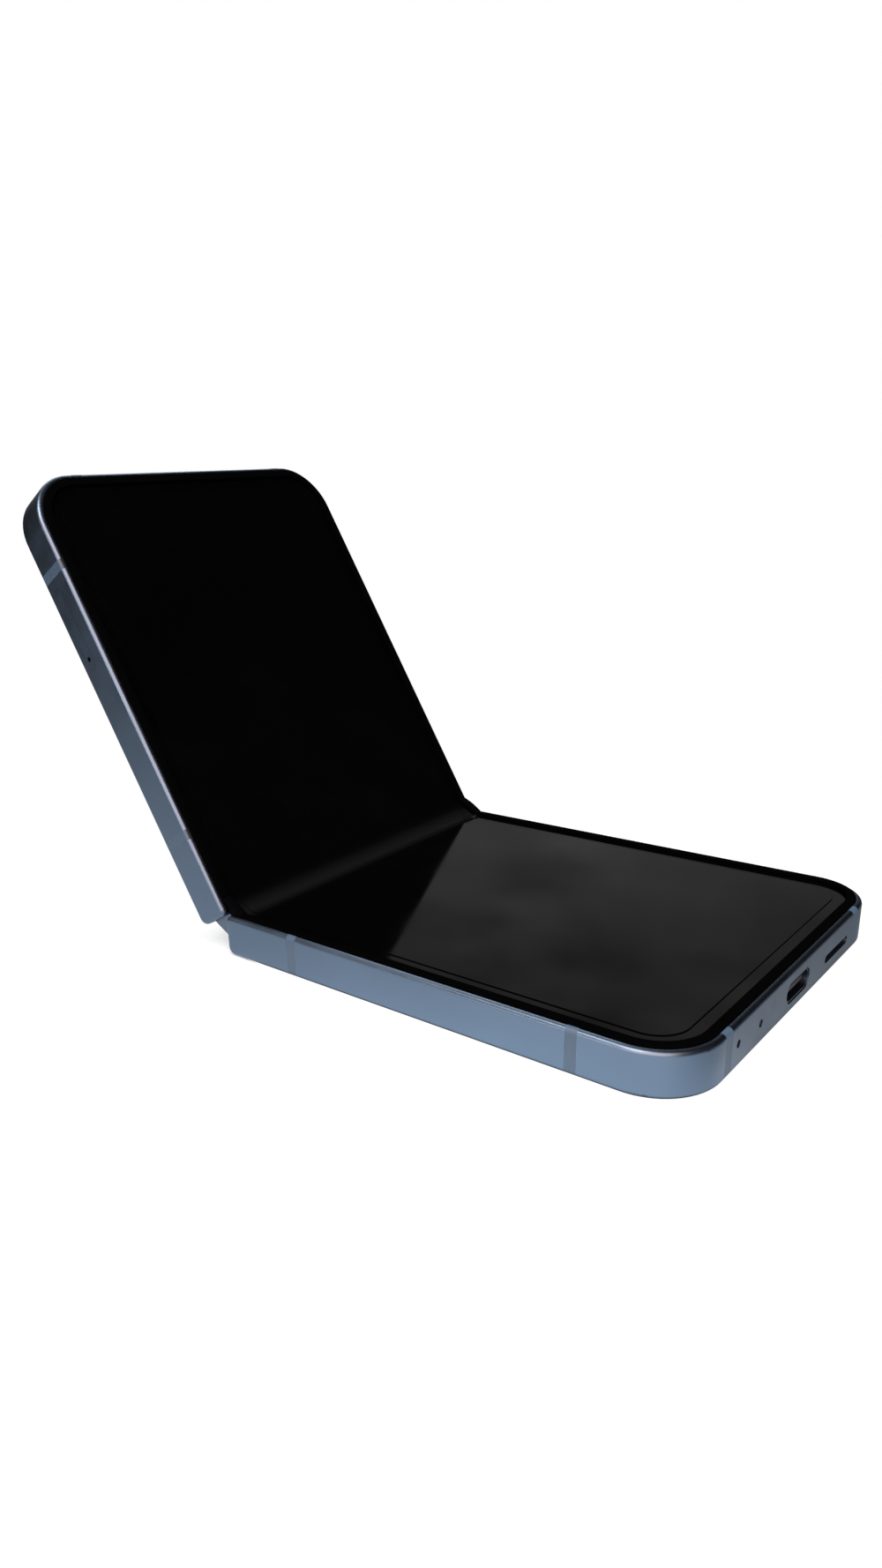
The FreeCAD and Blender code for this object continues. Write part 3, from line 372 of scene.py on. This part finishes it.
BLUE = (0.120, 0.176, 0.252)
M = {
    "anodised_blue": anodised("anodised_blue", BLUE, 0.37),
    "spine_blue": anodised("spine_blue", (0.125, 0.160, 0.222), 0.33),
    "band_grey": plastic("band_grey", (0.051, 0.081, 0.122), 0.46, 3200.0, 0.08),
    "bezel_black": plastic("bezel_black", (0.0009, 0.0009, 0.0010), 0.74, 2400.0, 0.08, gloss=0.012),
    "soft_black": plastic("soft_black", (0.0012, 0.0012, 0.0014), 0.7, 2600.0, 0.15, gloss=0.025),
    "screen_black": screen_glass("screen_black"),
    "film": screen_glass("film", (0.0006, 0.0006, 0.0007), 0.05, 0.03),
    "film_edge": plastic("film_edge", (0.0011, 0.0011, 0.0013), 0.65, 2600.0, 0.1, gloss=0.025),
    "back_glass_blue": glass_back("back_glass_blue", (0.19, 0.25, 0.37), 0.30),
    "back_glass_dark": glass_back("back_glass_dark", (0.012, 0.014, 0.02), 0.07, 1.5, 0.0),
    "lens_glass": lens_coat("lens_glass"),
    "ring_metal": anodised("ring_metal", (0.14, 0.175, 0.24), 0.26),
    "steel": steel("steel"),
    "port_steel": steel("port_steel", (0.075, 0.105, 0.155), 0.38),
    "battery_wrap": plastic("battery_wrap", (0.022, 0.022, 0.025), 0.5, 900.0, 0.3),
    "copper": wound_wire("copper", (0.62, 0.30, 0.15), (0.0, 0.001275)),
    "board_green": circuit("board_green", (0.012, 0.06, 0.035), (0.03, 0.11, 0.06)),
    "flex_amber": circuit("flex_amber", (0.16, 0.06, 0.012), (0.3, 0.14, 0.03)),
    "module_black": plastic("module_black", (0.012, 0.012, 0.014), 0.45, 1500.0, 0.25),
    "gold": steel("gold", (0.72, 0.48, 0.18), 0.25, (1.0, 8.0, 8.0)),
    "flash_amber": plastic("flash_amber", (0.62, 0.55, 0.36), 0.16, 2000.0, 0.1),
    "lens_black": plastic("lens_black", (0.003, 0.003, 0.0035), 0.12, 1500.0, 0.02),
}

SLOT = {p["node"]: p["material_slot"] for p in frame["record"]["subparts"]}
FINISH = {"usb_shell": "port_steel", "speaker_mesh": "port_steel", "cover_display": "screen_black"}
for n, ob in NODES.items():
    key = FINISH.get(n, SLOT[n])
    ob.data.materials.clear()
    ob.data.materials.append(M[key])


# ---------------------------------------------------------------- screen, film, soft caps and cable across the fold
def half_pairs(w, far, r, reach, steps):
    """Half-width and distance from the fold along one half, fine over the bend and round the corners."""
    rows = [(w, v) for v in np.linspace(0.0, reach, steps)]
    rows += [(w, v) for v in np.linspace(reach, far - r, 14)[1:]]
    for a in np.linspace(0, math.pi / 2, 22)[1:]:
        rows.append((w - r + r * math.cos(a), far - r + r * math.sin(a)))
    return rows


def flexible_plate(name, inset, corner, z0, z1, edge, material, rim, start_v=4.2, end_v=0.3):
    """The two parts of a sheet that covers both halves; they meet at the middle of the spine."""
    layers = [(edge + 0.12, z0), (edge * 0.6, z0), (0.0, z0 + edge * 0.6), (0.0, z1 - edge), (edge * 0.3, z1 - edge * 0.3),
              (edge, z1), (edge + 0.12, z1)]
    outlines = []
    for ins, z in layers:
        w, far, r = HALF_W - inset - ins, HALF_LEN - inset - ins, corner - ins
        outlines.append([(x, v, z) for x, v in half_pairs(w, far, r, 6.6, 45)])
    n = len(outlines[0])
    flat, faces = [], []
    for ring in outlines:                                    # each ring: left side out, right side back
        flat += [(-x, v, z) for x, v, z in ring] + [(x, v, z) for x, v, z in reversed(ring)]
    m = 2 * n
    for j in range(len(layers) - 1):
        for i in range(m - 1):
            a, b_ = j * m + i, j * m + i + 1
            faces.append((a, b_, b_ + m, a + m))
    rim_faces = range(m - 1, 5 * (m - 1))                    # the cut edge between the two flat rings
    for j, flip in ((0, True), (len(layers) - 1, False)):
        for i in range(n - 1):
            q = (j * m + i, j * m + i + 1, j * m + m - 2 - i, j * m + m - 1 - i)
            faces.append(q if not flip else q[::-1])
    # the face at the fold line
    faces.append(tuple(j * m for j in range(len(layers))) + tuple(j * m + m - 1 for j in reversed(range(len(layers)))))
    flat = np.array(flat)
    start, end = blend_ends(start_v, -0.2, end_v, -0.2)
    low = lower_rest(flat[:, 1], flat[:, 2], start, end)
    made = []
    for half in ("lower", "upper"):
        yz = low if half == "lower" else mirror_row(low)
        verts = np.column_stack([flat[:, 0], yz]) * MM
        ob = new_mesh(f"{name}_{half}", verts, faces, material, rim=rim, rim_faces=rim_faces)
        fold_sheen_and_roughness = ob.data.attributes.new("crease", "FLOAT", "POINT")
        off = -1.3 if half == "lower" else 1.3               # strongest just below the middle: painted sheen along the fold, and rougher film there
        fold_sheen_and_roughness.data.foreach_set("value", np.exp(-((flat[:, 1] + off) / 2.1) ** 2).astype(np.float32))
        if half == "lower":
            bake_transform(ob)
        else:
            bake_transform(ob)
        made.append(ob)
    return made


screen_low, screen_up = flexible_plate("screen", 1.25, 8.25, -0.9, -0.2, 0.08, M["screen_black"], M["film_edge"])
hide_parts("lower_display_panel", "display_fold")
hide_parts("upper_display_panel")
film_low, film_up = flexible_plate("screen_film", 4.5, 5.0, -0.2, -0.08, 0.05, M["film"], M["film_edge"])
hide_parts("lower_screen_film")
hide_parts("upper_screen_film")


def swept_strip(name, x0, x1, path, half_up, half_dn, material, start, end, round_=0.12):
    """Strips with a rounded section along a flat (v, z) path; one for each half, on the given x spans."""
    made = []
    n = len(path)
    for half in ("lower", "upper"):
        verts, faces = [], []
        for a, b in zip(x0, x1):
            base = len(verts)
            sec = [(a + round_, -half_dn), (b - round_, -half_dn), (b, -half_dn + round_), (b, half_up - round_),
                   (b - round_, half_up), (a + round_, half_up), (a, half_up - round_), (a, -half_dn + round_)]
            k = len(sec)
            for i, (v, z, nv, nz) in enumerate(path):
                for x, h in sec:
                    verts.append((x, v + nv * h, z + nz * h))
            for i in range(n - 1):
                for j in range(k):
                    p, q = base + i * k + j, base + i * k + (j + 1) % k
                    faces.append((p, q, q + k, p + k))
            faces.append(tuple(base + j for j in range(k)))
            faces.append(tuple(base + (n - 1) * k + j for j in reversed(range(k))))
        flat = np.array(verts)
        yz = lower_rest(flat[:, 1], flat[:, 2], start, end)
        if half == "upper":
            yz = mirror_row(yz)
        ob = new_mesh(f"{name}_{half}", np.column_stack([flat[:, 0], yz]) * MM, faces, material)
        if half == "lower":
            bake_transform(ob)
        else:
            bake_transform(ob)
        made.append(ob)
    return made


def soft_bridge(name, spans, material):
    """Soft bars between the ends of the two bezels: crowned on top, drawn in the spine frame at rest, one mesh for each half."""
    end, splay, low, top, crown, n, r = 2.33, 0.25, 0.6, 1.24, 0.21, 18, 0.15
    made = []
    for half, sign in (("lower", -1.0), ("upper", 1.0)):
        verts, faces = [], []
        for x0, x1 in spans:
            base = len(verts)
            sec = [(x0 + r * 0.5, 0.0), (x1 - r * 0.5, 0.0), (x1, 0.12), (x1, 0.74), (x1 - r * 0.3, 0.93), (x1 - r, 1.0),
                   (x0 + r, 1.0), (x0 + r * 0.3, 0.93), (x0, 0.74), (x0, 0.12)]
            k = len(sec)
            for i in range(n + 1):
                t = i / n                                     # 0 at the bezel end, 1 in the middle
                zt = top - crown * (1.0 - t) ** 2
                zb = low - 0.65 * (1.0 - (1.0 - t) ** 3)      # the underside follows the screen
                for x, h in sec:
                    y = (1.0 - t) * (end + splay * (1.0 - h))
                    verts.append((x, sign * y, zb + (zt - zb) * h))
            for i in range(n):
                for j in range(k):
                    p, q = base + i * k + j, base + i * k + (j + 1) % k
                    faces.append((p, q, q + k, p + k))
            faces.append(tuple(base + j for j in range(k)))
            faces.append(tuple(base + n * k + j for j in reversed(range(k))))
        flat = np.array(verts)
        ob = new_mesh(f"{name}_{half}", np.column_stack([flat[:, 0], spine_to_row(flat[:, 1:])]) * MM, faces, material)
        if half == "lower":
            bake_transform(ob)
        else:
            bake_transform(ob)
        made.append(ob)
    return made


cap_low, cap_up = soft_bridge("fold_cap", ((-35.0, -33.5), (33.5, 35.0)), M["soft_black"])
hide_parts("fold_caps")


def cable_path():
    pts = np.array([(10.0, -2.7), (8.0, -2.6), (6.4, -1.95), (5.2, -1.75), (3.9, -2.2), (2.6, -3.2), (1.3, -3.8), (0.0, -3.9)])
    out = []
    for i in range(len(pts) - 1):
        p0, p1, p2, p3 = pts[max(i - 1, 0)], pts[i], pts[i + 1], pts[min(i + 2, len(pts) - 1)]
        for t in np.linspace(0, 1, 7)[: -1 if i < len(pts) - 2 else None]:
            out.append(0.5 * (2 * p1 + (p2 - p0) * t + (2 * p0 - 5 * p1 + 4 * p2 - p3) * t * t + (3 * p1 - p0 - 3 * p2 + p3) * t ** 3))
    out = np.array(out)
    tan = np.gradient(out, axis=0)
    tan /= np.linalg.norm(tan, axis=1)[:, None]
    return [(p[0], p[1], -t[1] * -1.0, -t[0]) for p, t in zip(out, tan)]


cab_start, cab_end = blend_ends(5.6, -1.8, 3.6, -2.4)
cab_low, cab_up = swept_strip("hinge_cable", (9.0,), (15.5,), cable_path(), 0.07, 0.07, M["flex_amber"], cab_start, cab_end, 0.05)
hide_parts("hinge_flex_cable")


# ---------------------------------------------------------------- small turned and stamped detail
def upper_row(p):
    """Flat design point (x, y, z) of the upper half, in mm, to its rest place in metres."""
    q = np.array([[p[1], p[2]]])
    q = np.array([1.7, -1.15]) + turn2(q - np.array([1.7, -1.15]), TH)
    q = spine_to_row(q)[0]
    return Vector((p[0] * MM, q[0] * MM, q[1] * MM))


def turned(name, centre, profile, material, body, seg=72):
    """A turned piece about the back normal of the upper half: profile is (radius, z), z falling outwards."""
    verts, faces = [], []
    rings = []
    for r, z in profile:
        if r < 1e-6:
            rings.append([len(verts)])
            verts.append(upper_row((centre[0], centre[1], z)))
            continue
        ids = []
        for k in range(seg):
            a = 2 * math.pi * k / seg
            ids.append(len(verts))
            verts.append(upper_row((centre[0] + r * math.cos(a), centre[1] + r * math.sin(a), z)))
        rings.append(ids)
    for p, q in zip(rings, rings[1:]):
        for k in range(seg):
            if len(p) == 1:
                faces.append((p[0], q[k], q[(k + 1) % seg]))
            elif len(q) == 1:
                faces.append((p[k], q[0], p[(k + 1) % seg]))
            else:
                faces.append((p[k], q[k], q[(k + 1) % seg], p[(k + 1) % seg]))
    ob = new_mesh(name, verts, faces, material)
    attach(ob, body)
    return ob


bands_up = NODES["upper_antenna_bands"]
to_band = bands_up.matrix_world.inverted()
# the upper bands get painted shade along the screen-side face of the frame
top_shade_at, top_shade_up = upper_row((0.0, 50.0, 0.0)), upper_row((0.0, 50.0, 1.0)) - upper_row((0.0, 50.0, 0.0))
M["band_grey_upper"] = plastic("band_grey_upper", (0.051, 0.081, 0.122), 0.46, 3200.0, 0.08,
                               top_shade=(to_band @ top_shade_at, (to_band.to_3x3() @ top_shade_up).normalized()))
bands_up.data.materials[0] = M["band_grey_upper"]

CAM_V, CAMS = 70.0, (24.3, 9.6)
for i, x in enumerate(CAMS):
    mask = turned(f"camera_mask_{i}", (x, CAM_V),
                  [(0.0, -7.05), (5.15, -7.05), (5.19, -7.09), (5.19, -7.62), (5.12, -7.69), (3.3, -7.70), (3.22, -7.66),
                   (3.0, -7.40), (2.55, -7.37), (2.5, -7.33), (2.1, -7.16), (0.0, -7.14)], M["lens_black"], "upper_half")
    dome = turned(f"camera_lens_{i}", (x, CAM_V),
                  [(0.0, -7.15), (2.02, -7.17)] + [(2.02 * math.cos(t), -7.18 - 0.30 * math.sin(t))
                                                    for t in np.linspace(0, math.pi / 2, 10)[:-1]] + [(0.0, -7.48)],
                  M["lens_glass"], "upper_half")
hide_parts("camera_lenses")

fres = [(0.0, -6.25), (1.82, -6.25), (1.84, -6.88), (1.78, -6.92)]
for k in range(6, 0, -1):
    r = 1.7 * k / 6.0
    fres += [(r, -6.92), (r - 0.03, -6.86), (r - 0.25, -6.915)]
fres.append((0.0, -6.915))
flash = turned("flash_window", (17.0, 60.4), fres, M["flash_amber"], "upper_half", 64)
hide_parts("flash_lens")


def bars(name, boxes, material, body, bevel=0.03):
    """Small bars with eased edges, in lower-half row millimetres."""
    bm = bmesh.new()
    for x0, x1, y0, y1, z0, z1 in boxes:
        r = bmesh.ops.create_cube(bm, size=1.0)
        mat = Matrix.Translation(((x0 + x1) / 2, (y0 + y1) / 2, (z0 + z1) / 2)) @ Matrix.Diagonal((x1 - x0, y1 - y0, z1 - z0, 1))
        bmesh.ops.transform(bm, matrix=mat, verts=r["verts"])
    if bevel:
        bmesh.ops.bevel(bm, geom=list(bm.edges), offset=bevel, segments=2, affect="EDGES", profile=0.7)
    bmesh.ops.scale(bm, vec=(MM, MM, MM), verts=bm.verts)
    me = bpy.data.meshes.new(name)
    bm.to_mesh(me)
    bm.free()
    me.materials.append(material)
    ob = bpy.data.objects.new(name, me)
    bpy.context.scene.collection.objects.link(ob)
    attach(ob, body)
    return ob


# contacts on both faces of the port's tongue
pins = []
for k in range(12):
    x = -2.75 + 0.5 * k
    for z0, z1 in ((3.74, 3.775), (3.025, 3.06)):
        pins.append((x - 0.13, x + 0.13, -40.3, -36.6, z0, z1))
contacts = bars("port_contacts", pins, M["gold"], "lower_half", 0.008)
# grille in the speaker slot
grid = [(11.45 + 0.46 * k, 11.45 + 0.46 * k + 0.2, -40.55, -40.36, 2.46, 3.54) for k in range(22)]
grid += [(11.4, 21.4, -40.52, -40.39, z - 0.09, z + 0.09) for z in (2.55, 3.0, 3.45)]
grille = bars("speaker_grille", grid, M["port_steel"], "lower_half", 0.04)
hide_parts("speaker_mesh")

# ---------------------------------------------------------------- stage, light, camera
floor_r = 0.62
bm = bmesh.new()
bmesh.ops.create_circle(bm, cap_ends=True, segments=128, radius=floor_r)
me = bpy.data.meshes.new("floor")
bm.to_mesh(me)
bm.free()
floor = bpy.data.objects.new("floor", me)
floor.location = (0.0, 0.0, -0.0002)
bpy.context.scene.collection.objects.link(floor)
fm = bpy.data.materials.new("floor_pale")
fm.use_nodes = True
nt = fm.node_tree
nt.nodes.clear()
out = nt.nodes.new("ShaderNodeOutputMaterial")
dif = nt.nodes.new("ShaderNodeBsdfDiffuse")
dif.inputs["Color"].default_value = (0.86, 0.86, 0.87, 1)
clear = nt.nodes.new("ShaderNodeBsdfTransparent")
mixs = nt.nodes.new("ShaderNodeMixShader")
spot = nt.nodes.new("ShaderNodeTexCoord").outputs["Object"]


def along(direction):
    d = nt.nodes.new("ShaderNodeVectorMath")
    d.operation = "DOT_PRODUCT"
    d.inputs[1].default_value = direction
    nt.links.new(spot, d.inputs[0])
    return d.outputs["Value"]


# the paper is thickest on the near left and thins out into the white surround
back = ramp(nt, span(nt, along((-0.6, 0.8, 0.0)), 0.0, 1.0, 0.0, 0.5),
            [(q, (w, w, w)) for q, w in ((0.03, 1.0), (0.11, 0.66), (0.17, 0.60), (0.30, 0.46), (0.43, 0.35), (0.62, 0.22), (1.0, 0.06))])
right = ramp(nt, span(nt, along((0.8, -0.6, 0.0)), 0.0, 1.0, -0.05, 0.15),
             [(q, (w, w, w)) for q, w in ((0.22, 1.0), (0.33, 0.44), (0.55, 0.30), (1.0, 0.25))])
ln = nt.nodes.new("ShaderNodeVectorMath")
ln.operation = "DISTANCE"
ln.inputs[1].default_value = (-0.12, 0.10, 0.0)
nt.links.new(spot, ln.inputs[0])
rim = span(nt, ln.outputs["Value"], 1.0, 0.0, 0.16, 0.40)
behind = math_node(nt, "MULTIPLY", span(nt, along((1.0, 0.0, 0.0)), 0.0, 1.0, -0.047, -0.036),
                   span(nt, along((0.0, 1.0, 0.0)), 0.0, 1.0, 0.041, 0.052))
cover = math_node(nt, "MULTIPLY", math_node(nt, "MULTIPLY", back, right), rim)
behind = math_node(nt, "MULTIPLY", behind, nt.nodes.new("ShaderNodeLightPath").outputs["Is Camera Ray"])
cover = math_node(nt, "MULTIPLY", cover, math_node(nt, "SUBTRACT", 1.0, behind))
side = [math_node(nt, "MAXIMUM", math_node(nt, "SUBTRACT", math_node(nt, "ABSOLUTE", along(d), 0.0), flat_to), 0.0)
        for d, flat_to in (((1.0, 0.0, 0.0), 0.02645), ((0.0, 1.0, 0.0), 0.03178))]
away = math_node(nt, "SQRT", math_node(nt, "ADD", math_node(nt, "MULTIPLY", side[0], side[0]), math_node(nt, "MULTIPLY", side[1], side[1])), 0.0)
under = span(nt, away, 1.0, 0.0, 0.0092, 0.0102)             # no paper below the lying half itself
cover = math_node(nt, "MULTIPLY", cover, math_node(nt, "SUBTRACT", 1.0, under))
nt.links.new(cover, mixs.inputs["Fac"])
nt.links.new(clear.outputs["BSDF"], mixs.inputs[1])
nt.links.new(dif.outputs["BSDF"], mixs.inputs[2])
nt.links.new(mixs.outputs["Shader"], out.inputs["Surface"])
me.materials.append(fm)

scene = bpy.context.scene
world = bpy.data.worlds.new("studio")
scene.world = world
world.use_nodes = True
nt = world.node_tree
nt.nodes.clear()
out = nt.nodes.new("ShaderNodeOutputWorld")
seen = nt.nodes.new("ShaderNodeBackground")
seen.inputs["Color"].default_value = (1, 1, 1, 1)
seen.inputs["Strength"].default_value = 1.0
room = nt.nodes.new("ShaderNodeBackground")
tc = nt.nodes.new("ShaderNodeTexCoord")
aim = nt.nodes.new("ShaderNodeVectorMath")
aim.operation = "DOT_PRODUCT"
aim.inputs[1].default_value = (0.764, 0.556, 0.328)
nt.links.new(tc.outputs["Generated"], aim.inputs[0])
r = nt.nodes.new("ShaderNodeMapRange")
r.inputs["From Min"].default_value = 0.74
r.inputs["From Max"].default_value = 0.98
r.inputs["To Min"].default_value = 0.005
r.inputs["To Max"].default_value = 0.198
nt.links.new(aim.outputs["Value"], r.inputs["Value"])
uneven = span(nt, noise(nt, tc.outputs["Generated"], 13.0, 4.5, 0.6, stretch=(0.7, 0.7, 3.2)), 0.54, 1.46, 0.28, 0.72)
split = nt.nodes.new("ShaderNodeSeparateXYZ")
nt.links.new(tc.outputs["Generated"], split.inputs[0])
height = ramp(nt, split.outputs["Z"], [(q, (w, w, w)) for q, w in ((0.30, 0.94), (0.40, 0.80), (0.475, 0.76), (0.53, 0.40), (0.62, 0.06))])
glow = math_node(nt, "MULTIPLY", r.outputs["Result"], uneven)
nt.links.new(math_node(nt, "MULTIPLY", glow, height), room.inputs["Strength"])
room.inputs["Color"].default_value = (1.0, 0.98, 0.97, 1)
lp = nt.nodes.new("ShaderNodeLightPath")
mx = nt.nodes.new("ShaderNodeMixShader")
nt.links.new(lp.outputs["Is Camera Ray"], mx.inputs["Fac"])
nt.links.new(room.outputs["Background"], mx.inputs[1])
nt.links.new(seen.outputs["Background"], mx.inputs[2])
nt.links.new(mx.outputs["Shader"], out.inputs["Surface"])


def area(name, place, aim, size, power, colour=(1, 1, 1)):
    l = bpy.data.lights.new(name, "AREA")
    l.shape = "RECTANGLE"
    l.size, l.size_y = size
    l.energy = power
    l.color = colour
    ob = bpy.data.objects.new(name, l)
    ob.location = place
    ob.rotation_euler = (Vector(aim) - Vector(place)).to_track_quat("-Z", "Y").to_euler()
    scene.collection.objects.link(ob)
    ob.visible_camera = False
    return ob


def only(lamp, things):
    """Flag a lamp off everything else."""
    c = bpy.data.collections.new(lamp.name + "_lit")
    for ob in things:
        c.objects.link(ob)
    lamp.light_linking.receiver_collection = c


# the glossy black pieces see no lamp, only the surround; the back has lamps of its own
dark = [floor, screen_low, screen_up, film_low, film_up, cap_low, cap_up, NODES["lower_bezel"], NODES["upper_bezel"]]
rear = [ob for ob in scene.objects if ob.type == "MESH" and any(k in ob.name for k in ("back_glass", "cover_display", "camera", "flash"))]
lit = [ob for ob in scene.objects if ob.type == "MESH" and ob not in dark and ob not in rear]
top = area("overhead", (-0.70, -0.56, 1.12), (-0.05, 0.06, 0.0), (1.5, 1.5), 54.5, (0.965, 0.985, 1.0))
top.visible_glossy = False
for lamp in (area("key_soft", (-0.70, -0.26, 0.50), (-0.03, 0.05, 0.04), (1.1, 0.95), 13.0, (1.0, 0.69, 0.60)),
             area("high_left", (-0.50, 0.14, 0.80), (-0.03, 0.0, 0.0), (0.46, 0.30), 5.0, (1.0, 0.96, 0.92)),
             area("low_left", (-0.777, 0.269, 0.139), (-0.036, 0.05, 0.03), (0.30, 0.22), 0.95, (1.0, 0.93, 0.92))):
    lamp.visible_diffuse = False
    only(lamp, lit)
only(area("rear_right", (0.60, 0.75, 0.72), (0.0, 0.05, 0.04), (0.9, 0.9), 6.0, (1.0, 0.985, 0.97)), lit)
only(area("back_right", (0.62, 0.75, 0.62), (0.0, 0.06, 0.04), (0.9, 0.9), 2.6, (1.0, 0.985, 0.97)), rear)
only(area("back_left", (-0.62, 0.78, 0.62), (0.0, 0.06, 0.04), (0.9, 0.9), 2.6, (1.0, 0.985, 0.97)), rear)

cam_data = bpy.data.cameras.new("camera")
cam = bpy.data.objects.new("camera", cam_data)
scene.collection.objects.link(cam)
fwd = Vector((0.70424002, 0.6209588, -0.34417461))
rgt = Vector((0.64924861, -0.75943266, -0.04169259))
dwn = Vector((-0.28726682, -0.19409329, -0.93797951))
rot = Matrix((rgt, -dwn, -fwd)).transposed()
cam.matrix_world = Matrix.Translation((-0.144537, -0.085530, 0.074921)) @ rot.to_4x4()
cam_data.sensor_width = 36.0
cam_data.lens = 24.491
cam_data.shift_x = 0.0516
cam_data.shift_y = 0.0535
cam_data.clip_start = 0.005
scene.camera = cam
scene.view_settings.view_transform = "Standard"
scene.view_settings.look = "None"
